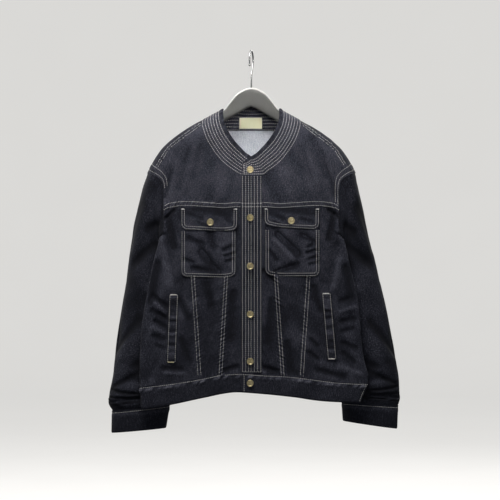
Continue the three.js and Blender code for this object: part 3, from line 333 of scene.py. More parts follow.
chest_seam = {s: places(front, [(24, -369.5), (100, -369), (188, -369), (200, -371.5),
                                (209, -377)], s) for s in (-1, 1)}
shoulder_seam = {s: places(front, SHOULDER, s) for s in (-1, 1)}
armhole_front = {s: places(front, ARMHOLE_FRONT, s) for s in (-1, 1)}
armhole_back = {s: places(back, ARMHOLE_BACK, s) for s in (-1, 1)}
back_yoke_seam = places(back, [(-214, -330), (-100, -330), (0, -330), (100, -330), (214, -330)])

# Seams that stand up as a welt: the line, its half width and its height.
WELTS = [(v_seam(s, which), 5.5, 0.9) for s in (-1, 1) for which in ("outer", "inner")]
WELTS += [(chest_seam[s], 6.0, 0.9) for s in (-1, 1)]
WELTS += [(offset(shoulder_seam[s], 5.8 * s), 6.8, 0.8) for s in (-1, 1)]
WELTS += [(back_yoke_seam, 6.0, 0.9)]
print(len(WELTS), "raised seams")

# %% Creases given one by one
# x and z of both ends, width and depth. They are shorter and finer than the large folds.
CREASES_FRONT = [
    (146, -206, 176, -300, 7, 1.8), (134, -232, 160, -330, 6, -1.4), (168, -238, 204, -352, 6, 1.7),
    (180, -262, 206, -330, 5, -1.3), (110, -262, 132, -340, 8, 1.0), (196, -296, 208, -362, 4, 1.2),
    (-120, -214, -138, -300, 7, 1.2), (-150, -232, -172, -330, 7, 1.4), (-176, -262, -196, -348, 6, -1.3),
    (-90, -262, -98, -352, 9, 0.9), (-46, -306, -60, -360, 8, 0.9), (-190, -290, -206, -352, 5, 1.4),
    (40, -310, 62, -358, 9, 0.9), (82, -280, 96, -352, 8, -0.8),
    (-236, -588, -205, -612, 5, 1.9), (-232, -604, -206, -628, 4, -1.2), (-238, -622, -207, -640, 5, 1.8),
    (-232, -648, -208, -661, 4, 1.5), (-240, -664, -209, -676, 4, -1.1), (-236, -682, -210, -692, 4, 1.3),
    (-226, -706, -211, -712, 4, 1.2), (-214, -760, -168, -764, 5, 1.2), (-206, -772, -160, -774, 4, -0.9),
    (-172, -596, -150, -640, 7, 1.1), (-168, -690, -150, -742, 7, 1.1),
    (214, -600, 243, -592, 5, 1.4), (214, -626, 248, -614, 4, -1.1), (216, -648, 246, -642, 5, 1.5),
    (218, -672, 244, -664, 4, 1.1), (220, -700, 250, -712, 5, 1.4), (220, -724, 246, -744, 4, 1.2),
    (142, -690, 158, -706, 4, 1.2), (138, -722, 160, -738, 4, 1.3), (150, -566, 166, -620, 6, 1.2),
    (160, -764, 222, -782, 6, 1.3), (212, -758, 262, -776, 6, -1.2), (30, -527, 54, -550, 5, 1.5),
    (34, -760, 62, -768, 6, 1.4), (-34, -756, -62, -766, 6, 1.2), (86, -700, 96, -768, 8, 1.0),
    (-108, -560, -96, -610, 9, 1.0), (-44, -580, -52, -690, 9, 1.0), (48, -600, 40, -700, 9, 1.0),
    (-200, -400, -184, -470, 7, 1.4), (-216, -450, -196, -560, 7, -1.2), (200, -392, 186, -450, 7, 1.4),
    (214, -500, 198, -566, 6, -1.2), (-186, -384, -206, -402, 4, 1.3), (186, -382, 206, -398, 4, 1.3),
    (-226, -510, -240, -600, 8, 1.4), (226, -520, 238, -600, 8, 1.2),
]
CREASES_BACK = [
    (-150, -345, -170, -470, 9, 1.8), (152, -345, 176, -500, 9, 1.8), (-60, -350, -50, -470, 10, 1.2),
    (60, -348, 40, -450, 10, -1.2), (-190, -380, -202, -520, 8, 1.8), (190, -378, 204, -500, 8, 1.6),
    (-170, -600, -196, -760, 9, 1.8), (170, -590, 198, -770, 9, -1.6), (-70, -620, -60, -780, 10, 1.4),
    (20, -560, 28, -700, 9, 1.2), (110, -640, 92, -782, 9, 1.6), (-130, -730, -60, -780, 8, 1.2),
    (-110, -230, -150, -300, 9, 1.2), (112, -236, 156, -306, 9, 1.2), (0, -230, 10, -310, 12, 0.8),
    (-40, -780, 40, -786, 6, 0.9), (-210, -560, -226, -700, 8, 1.6), (212, -560, 232, -690, 8, 1.5),
]
print(len(CREASES_FRONT), "creases in front and", len(CREASES_BACK), "behind")

# %% What lies on the fronts
POCKETS = {-1: (37, 168, -542, -542), 1: (33, 164, -538, -541)}  # inner, outer, foot z at both
FLAPS = {-1: (33, 168, -431, -429), 1: (31, 163, -419, -428)}
HAND_WELTS = {-1: (-197, -583, -203, -748), 1: (168, -580, 182, -740)}  # left edge, top and foot
WELT_WIDTH = 23
POCKET_TOP_Z, FLAP_TOP_Z = -371.6, -377


def welt_edge(sign, z):
    top_x, top_z, foot_x, foot_z = HAND_WELTS[sign]
    return mix(top_x, foot_x, (top_z - z) / (top_z - foot_z))


def uncovered(x, z):
    """One on bare panel and zero under a pocket, hand welt or placket."""
    hidden = np.zeros_like(x)
    for sign in (-1, 1):
        inner, outer, foot, _ = POCKETS[sign]
        across = ease(inner - 1, inner + 3, sign * x) * ease(outer + 1, outer - 3, sign * x)
        hidden = np.maximum(hidden, across * ease(foot - 1, foot + 3, z) * ease(-369, -373, z))
        left = welt_edge(sign, z)
        across = ease(left - 1, left + 2, x) * ease(left + WELT_WIDTH + 1, left + WELT_WIDTH - 2, x)
        top, low = HAND_WELTS[sign][1], HAND_WELTS[sign][3]
        hidden = np.maximum(hidden, across * ease(low - 1, low + 2, z) * ease(top + 1, top - 2, z))
    across = ease(LAP_LEFT - 1, LAP_LEFT + 2, x) * ease(LAP_RIGHT + 1, LAP_RIGHT - 2, x)
    return 1 - np.maximum(hidden, across)


print("left edge of each hand welt half way down", [round(welt_edge(s, -660)) for s in (-1, 1)])

# %% Relief of the panels
def puckers(away, along, reach, size, seed):
    """Short ripples across a seam, which die out away from it."""
    wave = 0.65 * np.sin(along * 2 * math.pi / 8.5 + 2.4 * ripple(along / 17, 0 * along, seed))
    wave = wave + 0.6 * ripple(along / 5.5, away / 30, seed + 1)
    return size * wave * np.exp(-(away / reach) ** 2)


CREASE_DEPTH = 2.3  # times the depths in the tables
LAP_CARRY = 3.0  # how far the lapped waistband draws the cloth out beside the placket
LAP_SLOPE = (46, 27)  # x where the waistband starts to climb over the lap, and where it is up


def relief(x, t):
    """How far the cloth of a body panel stands out from the plain surface."""
    z = ridge_z(x) - drop_at(t)
    lift = np.zeros_like(x)
    for k, (line, reach, high) in enumerate(WELTS):
        away, along, _ = line_field(line, x, t)
        lift = lift + high * ease(reach + 1.2, reach - 1.2, away)
        lift = lift + puckers(away, along, 1.5 * reach, 1.7, 20 + 2 * k)
    ahead, behind = t < 0, t >= 0
    creases = ahead * fold_depth(CREASES_FRONT, x, z) + behind * fold_depth(CREASES_BACK, x, z)
    lift = lift - mix(CREASE_DEPTH, 1.0, ahead * ease(-380, -350, z)) * creases
    above_waist = np.abs(z - smooth(WAIST_SEAM[-1], x))
    lift = lift + puckers(above_waist, x, 10, 0.8, 51) * ease(-700, -760, z)
    for s in (-1, 1):
        for line in (armhole_front[s], armhole_back[s]):
            away, along, _ = line_field(line, x, t)
            lift = lift + puckers(away, along, 10, 0.6, 61) + 0.7 * ease(11, 9, away)
    lift = lift + 0.8 * ripple(x / 34, t / 42, 5) + 0.38 * ripple(x / 12, t / 15, 6)
    bare = np.where(ahead, uncovered(x, z), 1)
    beside_lap = ahead & (x > LAP_RIGHT - 1)
    carried = LAP_CARRY * ease(*LAP_SLOPE, x) * ease(20, 4, above_waist) * beside_lap
    return np.where(lift > 0, lift * mix(0.25, 1, bare), lift) + carried


probe = np.array([[60.0, 120.0], [-300.0, -420.0]])
print("relief at two places", relief(*probe).round(2))

# %% [markdown]
# ## The sleeves
# A hanging sleeve is a tube that starts at the armhole, bends down over the elbow and blouses
# above its cuff. It could be a curve with a bevel, but its section changes all the way. So rows
# of a table give slanted rings, and the first ring is replaced by the real armhole, whose
# outline fades out further down.

# %% Tables of the sleeves
# Each row: outer x, y, z, inner x, y, z, depth ahead of and behind the line between them.
SLEEVES = {
    -1: [(250, 0, -294, 212, -30, -440, 22, 46), (266, 10, -344, 222, -13, -462, 32, 40),
         (283, 15, -419, 211, 8, -492, 38, 38), (295, 20, -501, 198, 20, -530, 40, 40),
         (307, 24, -585, 186, 24, -595, 42, 42), (324, 26, -692, 186, 26, -694, 40, 40),
         (333, 26, -770, 192, 26, -766, 37, 37), (342, 26, -817, 193, 26, -806, 38, 38),
         (346, 25, -845, 190, 25, -831, 37, 37), (336, 24, -866, 197, 24, -850, 29, 29)],
    1: [(250, 0, -294, 212, -30, -440, 22, 46), (263, 10, -350, 222, -13, -462, 32, 40),
        (281, 15, -432, 211, 8, -493, 38, 38), (299, 20, -505, 200, 20, -532, 40, 40),
        (319, 24, -588, 196, 24, -597, 42, 42), (343, 26, -700, 200, 26, -697, 40, 40),
        (354, 26, -770, 208, 26, -766, 37, 37), (357, 26, -808, 212, 26, -800, 38, 38),
        (359, 25, -834, 213, 25, -825, 36, 36), (354, 24, -852, 219, 24, -844, 29, 29)],
}
LAST_ROW, ARMHOLE_FADE = 9, 3
SLEEVE_GIRTH, SLEEVE_REACH = 300, 590
# Degrees round the sleeve and millimetres down it at both ends, width and depth.
SLEEVE_FOLDS = [
    (150, 30, 60, 190, 22, 6), (120, 230, 20, 330, 20, 5), (60, 420, 160, 470, 16, 5),
    (200, 120, 300, 240, 22, 6), (220, 320, 320, 400, 20, 6), (20, 522, 140, 508, 13, 5),
    (190, 515, 330, 526, 13, 5),
]
SLEEVE_CREASES = [
    (140, 60, 70, 120, 8, 1.6), (120, 130, 40, 200, 9, 1.5), (160, 180, 90, 250, 8, -1.4),
    (70, 300, 10, 350, 8, 1.6), (150, 330, 80, 380, 9, 1.7), (110, 380, 30, 440, 8, 1.6),
    (20, 455, 80, 482, 7, 1.9), (100, 486, 170, 498, 7, 1.8), (10, 492, 70, 505, 6, 1.6),
    (60, 540, 120, 532, 6, 1.9), (0, 546, 40, 548, 5, 1.4), (130, 540, 178, 552, 5, 1.5),
    (200, 60, 260, 130, 9, 1.5), (300, 150, 350, 230, 9, 1.6), (210, 220, 280, 290, 9, -1.5),
    (300, 330, 350, 380, 8, 1.5), (200, 430, 270, 470, 8, 1.8), (280, 480, 350, 500, 7, 1.7),
    (200, 545, 260, 536, 6, 1.7), (290, 540, 350, 552, 5, 1.6), (30, 90, 10, 170, 10, 1.2),
]
BACK_SEAM_ANGLE = 5.484
UNDER_SEAM_ANGLE = math.pi
print(len(SLEEVE_FOLDS), "folds and", len(SLEEVE_CREASES), "creases on each sleeve")


# %% Sleeve rings
def unrolled(table):
    """The table with its angles turned into millimetres round the sleeve."""
    return [(a / 360 * SLEEVE_GIRTH, b, c / 360 * SLEEVE_GIRTH, d, width, depth)
            for a, b, c, d, width, depth in table]


def sleeve_flat(s, angle):
    """Millimetres round the sleeve and down it."""
    return np.mod(angle, 2 * math.pi) / (2 * math.pi) * SLEEVE_GIRTH, s / LAST_ROW * SLEEVE_REACH


def armhole_ring(sign):
    """Angles and points once round the armhole: over the front first, then back up behind."""
    shares = np.linspace(0, 1, 90)
    ahead = body(path(armhole_front[sign])(shares))[0]
    behind = body(path(armhole_back[sign])(shares))[0]

    def angles(points):
        run = np.concatenate([[0], np.cumsum(np.linalg.norm(np.diff(points), axis=0))])
        return math.pi * run / run[-1]
    angle = np.concatenate([angles(ahead), 2 * math.pi - angles(behind)[::-1]])
    return angle, np.concatenate([ahead, behind[:, ::-1]], axis=1)


ARMHOLES = {s: armhole_ring(s) for s in (-1, 1)}


def sleeve_ring(sign, s, angle):
    rows = np.array(SLEEVES[sign], float)
    xo, yo, zo, xi, yi, zi, ahead, behind = (
        smooth(list(enumerate(rows[:, k])), s) for k in range(8))
    share = 0.5 - 0.5 * np.cos(angle)
    forward = np.sin(angle)
    depth = np.where(forward > 0, ahead, behind) * forward
    return np.array([sign * mix(xo, xi, share), mix(yo, yi, share) - depth, mix(zo, zi, share)])


def away_from_middle(sign, s, point):
    middle = (sleeve_ring(sign, s, 0 * s) + sleeve_ring(sign, s, 0 * s + math.pi)) / 2
    away = point - middle
    return away / np.linalg.norm(away, axis=0)


def sleeve_point(sign, s, angle):
    turn = np.mod(angle, 2 * math.pi)
    known, points = ARMHOLES[sign]
    seam = np.array([np.interp(turn, known, p) for p in points])
    shift = (seam - sleeve_ring(sign, 0 * s, turn)) * (1 - ease(0, ARMHOLE_FADE, s))
    point = sleeve_ring(sign, s, turn)
    at_ends = ease(0, 0.8, s) * ease(LAST_ROW, LAST_ROW - 0.6, s)
    depth = fold_depth(unrolled(SLEEVE_FOLDS), *sleeve_flat(s, angle))
    inward = away_from_middle(sign, s, point) * (-depth * at_ends)
    return point + shift + inward


# %% Creases of the sleeves
SLEEVE_CREASE_DEPTH = 1.9  # times the depths in the table


def sleeve_lift(sign, s, angle):
    """Fine creases, and the gathers where the sleeve is taken into its cuff."""
    across, down = sleeve_flat(s, angle)
    at_cuff, at_head = np.exp(-((SLEEVE_REACH - down) / 22) ** 2), np.exp(-(down / 14) ** 2)
    lift = -SLEEVE_CREASE_DEPTH * fold_depth(unrolled(SLEEVE_CREASES), across, down)
    lift = lift + 1.1 * ripple(across / 30, down / 46, 71 + sign)
    lift = lift + 0.4 * ripple(across / 9, down / 16, 74)
    lift = lift + 1.4 * ripple(across / 11, down / 60, 77 + sign) * at_cuff
    lift = lift + 0.6 * ripple(across / 10, down / 40, 79 + sign) * at_head
    return lift * ease(0, 0.15, s) * ease(LAST_ROW, LAST_ROW - 0.08, s)


def sleeve(sign, s, angle):
    """Points and normals on a sleeve, creases included."""
    e = 0.05
    round_step = sleeve_point(sign, s, angle + e) - sleeve_point(sign, s, angle - e)
    s0, s1 = np.maximum(0, s - e), np.minimum(LAST_ROW, s + e)
    down_step = sleeve_point(sign, s1, angle) - sleeve_point(sign, s0, angle)
    normal = np.cross(round_step.T, down_step.T).T * sign
    normal /= np.linalg.norm(normal, axis=0) + 1e-9
    point = sleeve_point(sign, s, angle)
    away = away_from_middle(sign, s, point)
    normal = mix(normal, away, ease(0.5, 0, np.sum(normal * away, axis=0)))
    normal /= np.linalg.norm(normal, axis=0)
    return point + normal * sleeve_lift(sign, s, angle), normal


print("cuff seam of one sleeve at", sleeve_point(1, np.array([9.0]), np.array([0.0])).ravel().round(1))

# %% [markdown]
# ## Cloth shells
# Every piece of cloth is made the same way: a grid from `create_grid`, whose corners are moved
# to their places on a surface, then given its thickness by a Solidify modifier that is applied.
# Each corner's flat place goes into a UV map in millimetres, so the weave has much the same scale
# on every piece, and a value per corner tells the dye where it has rubbed off; the same value
# carries painted shade in the creases and painted light on the upper fronts.
# The cut that is declared is the box of that map, which is not a true pattern: it is too long
# for wide pieces of the body, and too short for the sleeves, mapped along their middle line.

# %% Materials, started early so that the pieces can take them
def new_material(name):
    material = bpy.data.materials.new(name)
    material.use_nodes = True
    return material


DENIM = new_material("denim_face")
DENIM_REVERSE = new_material("denim_reverse")
LABEL_CLOTH = new_material("label_cloth")
THREAD = new_material("thread")
BARTACK_THREADS = {"cream": new_material("bartack_cream"), "white": new_material("bartack_white")}
BRASS = new_material("antique_brass")
PLASTIC = new_material("hanger_plastic")
STEEL = new_material("hook_steel")


# %% Grids laid on a surface
def mesh_of(bm, name):
    """The finished mesh of a bmesh, which is then let go."""
    mesh = bpy.data.meshes.new(name)
    bm.to_mesh(mesh)
    bm.free()
    return mesh


def keep_object(name, mesh, materials):
    piece = bpy.data.objects.new(name, mesh)
    bpy.context.scene.collection.objects.link(piece)
    for material in materials:
        piece.data.materials.append(material)
    return piece


def add_grid(bm, columns, rows, panel):
    """Adds one grid to the mesh and lays it on a panel's surface."""
    uv, wear_and_painted_light = bm.loops.layers.uv.verify(), bm.verts.layers.float.get("wear_and_painted_light")
    made = bmesh.ops.create_grid(bm, x_segments=columns, y_segments=rows, size=0.5)["verts"]
    shares = np.array([v.co[:2] for v in made]).T + 0.5
    at, normals, flat, rub_and_painted_light = panel(*shares)
    order = {}
    for k, v in enumerate(made):
        v.co = at[:, k] * MM
        v[wear_and_painted_light] = rub_and_painted_light[k]
        order[v] = k
    faces = {f for v in made for f in v.link_faces}
    for face in faces:
        for loop in face.loops:
            loop[uv].uv = flat[:, order[loop.vert]] * MM
    return faces, normals, order


def cut_size(piece):
    """Width, length and area of the UV map in metres. The box leans, so only the area is true."""
    uv = np.empty(len(piece.data.loops) * 2)
    piece.data.uv_layers[0].data.foreach_get("uv", uv)
    uv = uv.reshape(-1, 2)
    area = 0.0
    for face in piece.data.polygons:
        x, y = uv[face.loop_start:face.loop_start + face.loop_total].T
        area += abs(np.dot(x, np.roll(y, 1)) - np.dot(y, np.roll(x, 1))) / 2
    width, length = np.ptp(uv, axis=0)
    return float(width), float(length), float(area)


def grid_for(panel, spacing):
    """Columns and rows for a panel, from its length along both middle lines."""
    share, half = np.linspace(0, 1, 60), np.full(60, 0.5)

    def count(*line):
        at = panel(*line)[0]
        return max(4, round(float(np.linalg.norm(np.diff(at), axis=0).sum()) / spacing))
    return count(share, half), count(half, share), panel


# %% The cloth maker
def make_cloth(node, grids, thick, inner=DENIM_REVERSE, closed=False, outer=DENIM):
    """One cloth shell over its grids, which stands for a node and is given its flat cut."""
    name = f"cloth_{node}"
    bm = bmesh.new()
    bm.verts.layers.float.new("wear_and_painted_light")
    bm.loops.layers.uv.new("cloth")
    for columns, rows, panel in grids:
        faces, normals, order = add_grid(bm, columns, rows, panel)
        bm.normal_update()
        facing = sum(f.normal.dot(Vector(normals[:, order[f.verts[0]]])) for f in faces)
        if facing < 0:
            bmesh.ops.reverse_faces(bm, faces=list(faces))
    if closed or len(grids) > 1:
        bmesh.ops.remove_doubles(bm, verts=bm.verts[:], dist=0.02 * MM)
    piece = keep_object(name, mesh_of(bm, name), [outer, inner])
    width, length, area = cut_size(piece)
    shell = piece.modifiers.new("thickness", "SOLIDIFY")
    shell.thickness, shell.offset, shell.material_offset = thick * MM, -1, 1
    solid = bpy.data.meshes.new_from_object(
        piece.evaluated_get(bpy.context.evaluated_depsgraph_get()))
    piece.modifiers.remove(shell)
    piece.data = solid
    solid.shade_smooth()
    solid.set_sharp_from_angle(angle=math.radians(52))
    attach(piece, "root")
    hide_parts(node)
    print(f"{name}: {len(solid.polygons)} faces, cut {width:.3f} x {length:.3f} m, {area:.3f} m2")


# %% [markdown]
# ## Panels between four edges
# A cut piece is described by its four edges on the flat cloth. A Coons patch fills in between
# them: it blends the top with the foot and one side with the other. A sculpted or projected
# grid would also fit, but this one always ends exactly on its seams.

# %% Edges and the patch between them
PANEL, BAND, PATCH, FLAP = 1.3, 2.6, 1.2, 1.8  # thickness of plain, folded, patch and flap cloth
FINE, EVEN, COARSE = 1.8, 2.3, 3.3  # corner spacing where puckers show, on bands, and elsewhere
# Shares of an edge at which it passes from one seam line to the next.
UPPER_TURN, SIDE_TURN, BACK_TURN = 8 / 14, 6 / 15, 8 / 17
BAND_LAP, BAND_RIDGE, BACK_BAND_ENDS = 2 / 13, 10 / 13, 2 / 16


def chain(*parts):
    """Joins edges: each part is an edge function and the share at which it ends."""
    def at(share):
        share = np.asarray(share, float)
        result, start = None, 0.0
        for edge, end in parts:
            here = edge(np.clip((share - start) / (end - start), 0, 1))
            result = here if result is None else np.where(share > start + 1e-9, here, result)
            start = end
        return result
    return at


def straight(make, x0, z0, x1, z1):
    return lambda share: make(mix(x0, x1, share), mix(z0, z1, share))


def patch(top, foot, start, end, across=lambda u: u):
    """The Coons patch between four edges of flat cloth."""
    def flat(u, v):
        share = across(u)
        zero, one = 0 * u, 0 * u + 1
        corners = mix(mix(top(zero), top(one), share), mix(foot(zero), foot(one), share), v)
        return mix(top(share), foot(share), v) + mix(start(v), end(v), share) - corners
    return flat


def rub_and_crease_shade(lift):
    """Lighter where cloth stands out and the dye has rubbed off, and darker in the creases, which is
    painted shade.
    """
    return 0.21 * np.tanh(0.8 * (lift - lift.mean()))


def plain_lift(flat, u, v):
    return relief(*flat)


def on_body(flat_at, lift_at=plain_lift, rub_and_light_at=None, cut_at=lambda flat, u, v: flat):
    """A panel on the body: its flat places, raised by a lift. A strip has its own cut."""
    def panel(u, v):
        flat = flat_at(u, v)
        at, normal = body(flat)
        lift = lift_at(flat, u, v)
        rub_and_painted_light = rub_and_light_at(flat, u, v) if rub_and_light_at else rub_and_crease_shade(lift)
        return at + normal * lift, normal, cut_at(flat, u, v), rub_and_painted_light
    return panel


def crowded(u):
    """Shares that lie closer together towards the end."""
    return np.sin(u * math.pi / 2)


def crowded_both(u):
    """Shares that lie closer together towards both ends."""
    return 0.5 + 0.5 * np.sin((u - 0.5) * math.pi)


# %% Upper fronts
LAP_EDGE = {-1: -LAP_LEFT - 1.3, 1: LAP_RIGHT}


def neck_lines(sign):
    """Inner and outer edge of the neckband's front half, the lap included."""
    inner = places(front, NECK_INNER, sign)
    inner[0] = front(-sign * NECK_INNER[0][0], NECK_INNER[0][1])
    inner = np.vstack([inner, [sign * NECK_RIDGE[0], 0]])
    outer = places(front, NECK_OUTER, sign)
    outer[0] = front(sign * LAP_EDGE[sign], PLACKET_TOP_Z)
    lap = front(-sign * NECK_LAP_X, PLACKET_TOP_Z)
    outer = np.vstack([lap, outer, [sign * NECK_RIDGE[1], 0]])
    return inner, outer


def upper_rub_and_light(flat, u, v):
    """The upper fronts are a little greyer all over: mostly painted light from the lamp above, partly
    paler dye.
    """
    return 0.13 + 0.05 * ripple(flat[0] / 40, flat[1] / 60, 87) + 0.5 * rub_and_crease_shade(relief(*flat))


for sign, side in SIDES:
    outer = neck_lines(sign)[1]
    edge = sign * LAP_EDGE[sign]
    flat_at = patch(
        chain((path(outer, 1, 7), UPPER_TURN), (path(shoulder_seam[sign]), 1)),
        straight(front, edge, CHEST_Z, sign * ARMHOLE_X, CHEST_Z),
        straight(front, edge, PLACKET_TOP_Z, edge, CHEST_Z),
        path(armhole_front[sign], 2, 6))
    make_cloth(f"front_upper_{side}",
               [grid_for(on_body(flat_at, rub_and_light_at=upper_rub_and_light), FINE)], PANEL)

# %% [markdown]
# ## Lower fronts
# Below the chest seam each front is cut into three: a narrow piece beside the placket, one
# between the two slanting seams, and a wide one that runs round to the side fold.

# %% Lower fronts
LAP_TUCK = 5  # where the band laps it stands off, so the cloth beside the placket goes in under it
V_BREAK_Z = -455  # place on the V seam that lies level with the foot of the armhole
SIDE_GRID = (44, 135)  # corners across the side front and down it


def waist_place(sign, x_at):
    z = V_FOOT_Z
    for _ in range(6):
        z = float(smooth(WAIST_SEAM[-1], sign * x_at(z)))
    return x_at(z), z


def edge_down(make, sign, x_at, z0, z1):
    """An edge between two heights whose x is worked out from its height."""
    def at(share):
        z = mix(z0, z1, share)
        return make(sign * x_at(z), z)
    return at


def fold_x(sign):
    """Distance of the side fold from the middle, read at a height."""
    return lambda z: side_x(sign, z) - EDGE_SHY


def fold_foot(sign, face):
    """Height at which the side fold meets the waist seam."""
    return float(smooth(WAIST_SEAM[face], sign * side_x(sign, FOLD_FOOT_Z)))


def waist_edge(sign, x0, x1, tuck=0):
    def at(share):
        x = sign * mix(x0, x1, share)
        return front(x, smooth(WAIST_SEAM[-1], x) - tuck)
    return at


for sign, side in SIDES:
    lap_x = LAP_EDGE[sign]
    inner_x = lambda z, s=sign: s * v_seam_x(s, "inner", z)
    outer_x = lambda z, s=sign: s * v_seam_x(s, "outer", z)
    strips = (("centre", lambda z: lap_x + 0 * z, inner_x, LAP_TUCK), ("middle", inner_x, outer_x, 0))
    for part, start_x, end_x, tuck in strips:
        (foot_x0, foot_z0), (foot_x1, foot_z1) = waist_place(sign, start_x), waist_place(sign, end_x)
        flat_at = patch(
            straight(front, sign * start_x(CHEST_Z), CHEST_Z, sign * end_x(CHEST_Z), CHEST_Z),
            waist_edge(sign, foot_x0, foot_x1, tuck),
            edge_down(front, sign, start_x, CHEST_Z, foot_z0 - tuck),
            edge_down(front, sign, end_x, CHEST_Z, foot_z1 - tuck))
        make_cloth(f"front_{part}_{side}",
                   [grid_for(on_body(flat_at), FINE)], PANEL)

    seam_x, seam_foot_z = waist_place(sign, outer_x)
    fold_foot_z = fold_foot(sign, -1)
    flat_at = patch(
        straight(front, sign * outer_x(CHEST_Z), CHEST_Z, sign * ARMHOLE_X, CHEST_Z),
        waist_edge(sign, seam_x, float(side_x(sign, fold_foot_z)) - EDGE_SHY),
        chain((edge_down(front, sign, outer_x, CHEST_Z, V_BREAK_Z), SIDE_TURN),
              (edge_down(front, sign, outer_x, V_BREAK_Z, seam_foot_z), 1)),
        chain((path(armhole_front[sign], 6, 10), SIDE_TURN),
              (edge_down(front, sign, fold_x(sign), UNDERARM_Z, fold_foot_z), 1)), across=crowded)
    make_cloth(f"front_side_{side}",
               [(*SIDE_GRID, on_body(flat_at))], PANEL)

# %% [markdown]
# ## Yoke and back
# The back yoke comes forward over the shoulders and ends in front, so its seam lies where the
# photo shows it. It is one piece of cloth made of five patches, welded where they share an edge.

# %% Yoke
YOKE_FOOT_X, YOKE_ARM_X = 108, 214
YOKE_MIDDLE, YOKE_ARM, YOKE_AHEAD, YOKE_BEHIND = 60, 36, 20, 44  # corners across and down


def turned(edge):
    return lambda share: edge(1 - share)


def mirror_edge(edge):
    return lambda share: edge(share) * np.array([[-1.0], [1.0]])


def mirror_flat(flat_at):
    return lambda u, v: flat_at(1 - u, v) * np.array([[-1.0], [1.0]])


def yoke_side(share):
    """From the neck point down the back, to the foot of the yoke's middle patch."""
    foot = back(YOKE_FOOT_X, BACK_YOKE_Z)
    return np.array([mix(NECK_RIDGE[1], foot[0], share), mix(0, foot[1], share)])


neck_back_outer = np.vstack([[NECK_RIDGE[1], 0], places(back, NECK_BACK_OUTER)])
neck_back_inner = np.vstack([[NECK_RIDGE[0], 0], places(back, NECK_BACK_INNER)])


def whole_edge(half):
    """From the viewer's left to right, from the half that runs from the right to the middle."""
    return chain((mirror_edge(path(half)), 0.5), (turned(path(half)), 1))


def ridge_edge(share):
    return np.array([mix(NECK_RIDGE[1], SHOULDER_TIP_X, share), 0 * share])


middle = patch(whole_edge(neck_back_outer),
               straight(back, -YOKE_FOOT_X, BACK_YOKE_Z, YOKE_FOOT_X, BACK_YOKE_Z),
               mirror_edge(yoke_side), yoke_side)
ahead = patch(path(shoulder_seam[1]), ridge_edge, path(neck_lines(1)[1], 7, 8),
              turned(path(armhole_front[1], 0, 2)))
behind = patch(ridge_edge, straight(back, YOKE_FOOT_X, BACK_YOKE_Z, YOKE_ARM_X, BACK_YOKE_Z),
               yoke_side, path(armhole_back[1], 0, 4))
make_cloth("back_yoke", [
    (YOKE_MIDDLE, YOKE_BEHIND, on_body(middle)),
    (YOKE_ARM, YOKE_AHEAD, on_body(ahead)),
    (YOKE_ARM, YOKE_BEHIND, on_body(behind)),
    (YOKE_ARM, YOKE_AHEAD, on_body(mirror_flat(ahead))),
    (YOKE_ARM, YOKE_BEHIND, on_body(mirror_flat(behind))),
], PANEL)


# %% Back
def back_edge(sign):
    fold = edge_down(back, sign, fold_x(sign), UNDERARM_Z, fold_foot(sign, 1))
    return chain((path(armhole_back[sign], 4, 9), BACK_TURN), (fold, 1))


def back_foot(share):
    left, right = back_edge(-1)(np.array([1.0]))[0, 0], back_edge(1)(np.array([1.0]))[0, 0]
    x = mix(left, right, share)
    return back(x, smooth(WAIST_SEAM[1], x))


flat_at = patch(straight(back, -YOKE_ARM_X, BACK_YOKE_Z, YOKE_ARM_X, BACK_YOKE_Z), back_foot,
                back_edge(-1), back_edge(1), across=crowded_both)
make_cloth("back_panel", [grid_for(on_body(flat_at), COARSE)], PANEL)

# %% [markdown]
# ## Neckband
# The neckband is a folded strip with seven rows of stitching, each of which sinks a little into
# it, so the strip looks quilted. Its inner edge is left plain and is drawn up into short ropes,
# as happens when a curved strip is turned and washed. The viewer's right end climbs over the left.

# %% Neckband
NECK_ROWS = [0.96, 0.835, 0.71, 0.585, 0.46, 0.335, 0.21]  # shares from the inner edge
NECK_RAISE, NECK_LAP_RISE, BAND_WIDTH = 1.0, 3.5, 52
NECK_LONG = 300  # length of a neckband piece, in which its ripples are counted


def quilting(share, along):
    """Valleys along the band's stitch rows, with ripples on the pads between them."""
    lift = np.zeros_like(share)
    for k, row in enumerate(NECK_ROWS):
        away = (share - row) * BAND_WIDTH
        lift = lift - 0.75 * np.exp(-(away / 1.5) ** 2)
        pad = np.exp(-((away + BAND_WIDTH * 0.06) / 2.4) ** 2)
        lift = lift + 0.5 * pad * ripple(along / 5.5, 0 * along + 3.7 * k, 93)
    return lift


def neck_lift(sign):
    def lift_at(flat, u, v):
        run = u * NECK_LONG
        over = NECK_LAP_RISE * ease(58, 30, flat[0]) if sign > 0 else 0.0
        rope = ease(0.17, 0.05, v) * 2.0 * ripple(run / 6.0, v, 91 + sign)
        edge = -1.4 * (1 - ease(0, 0.06, v)) - 0.9 * (1 - ease(1.0, 0.96, v))
        return NECK_RAISE + over + rope + edge + quilting(v, run)
    return lift_at


def neck_rub(flat, u, v):
    roped = 0.16 * ease(0.17, 0.10, v) * ripple(u * 50, v * 2, 92)
    return 0.14 * ease(0.12, 0.2, v) + 0.08 * ripple(u * 60, v * 9, 95) + roped


def strip_between(inner, outer):
    return lambda u, v: mix(inner(u), outer(u), v)


neck_panels = {}
for sign, side in SIDES:
    inner, outer = neck_lines(sign)
    (x0, z0), (x1, z1) = NECK_INNER[:2]
    inner_lap = straight(front, -sign * x0, z0, sign * x1, z1)
    outer_lap = straight(front, -sign * NECK_LAP_X, PLACKET_TOP_Z, sign * LAP_EDGE[sign], PLACKET_TOP_Z)
    flat_at = strip_between(
        chain((inner_lap, BAND_LAP), (path(inner, 1, 6), BAND_RIDGE), (path(inner, 6, 7), 1)),
        chain((outer_lap, BAND_LAP), (path(outer, 1, 7), BAND_RIDGE), (path(outer, 7, 8), 1)))
    neck_panels[sign] = on_body(flat_at, neck_lift(sign), neck_rub)
    make_cloth(f"neckband_front_{side}",
               [grid_for(neck_panels[sign], FINE)], BAND, inner=DENIM)


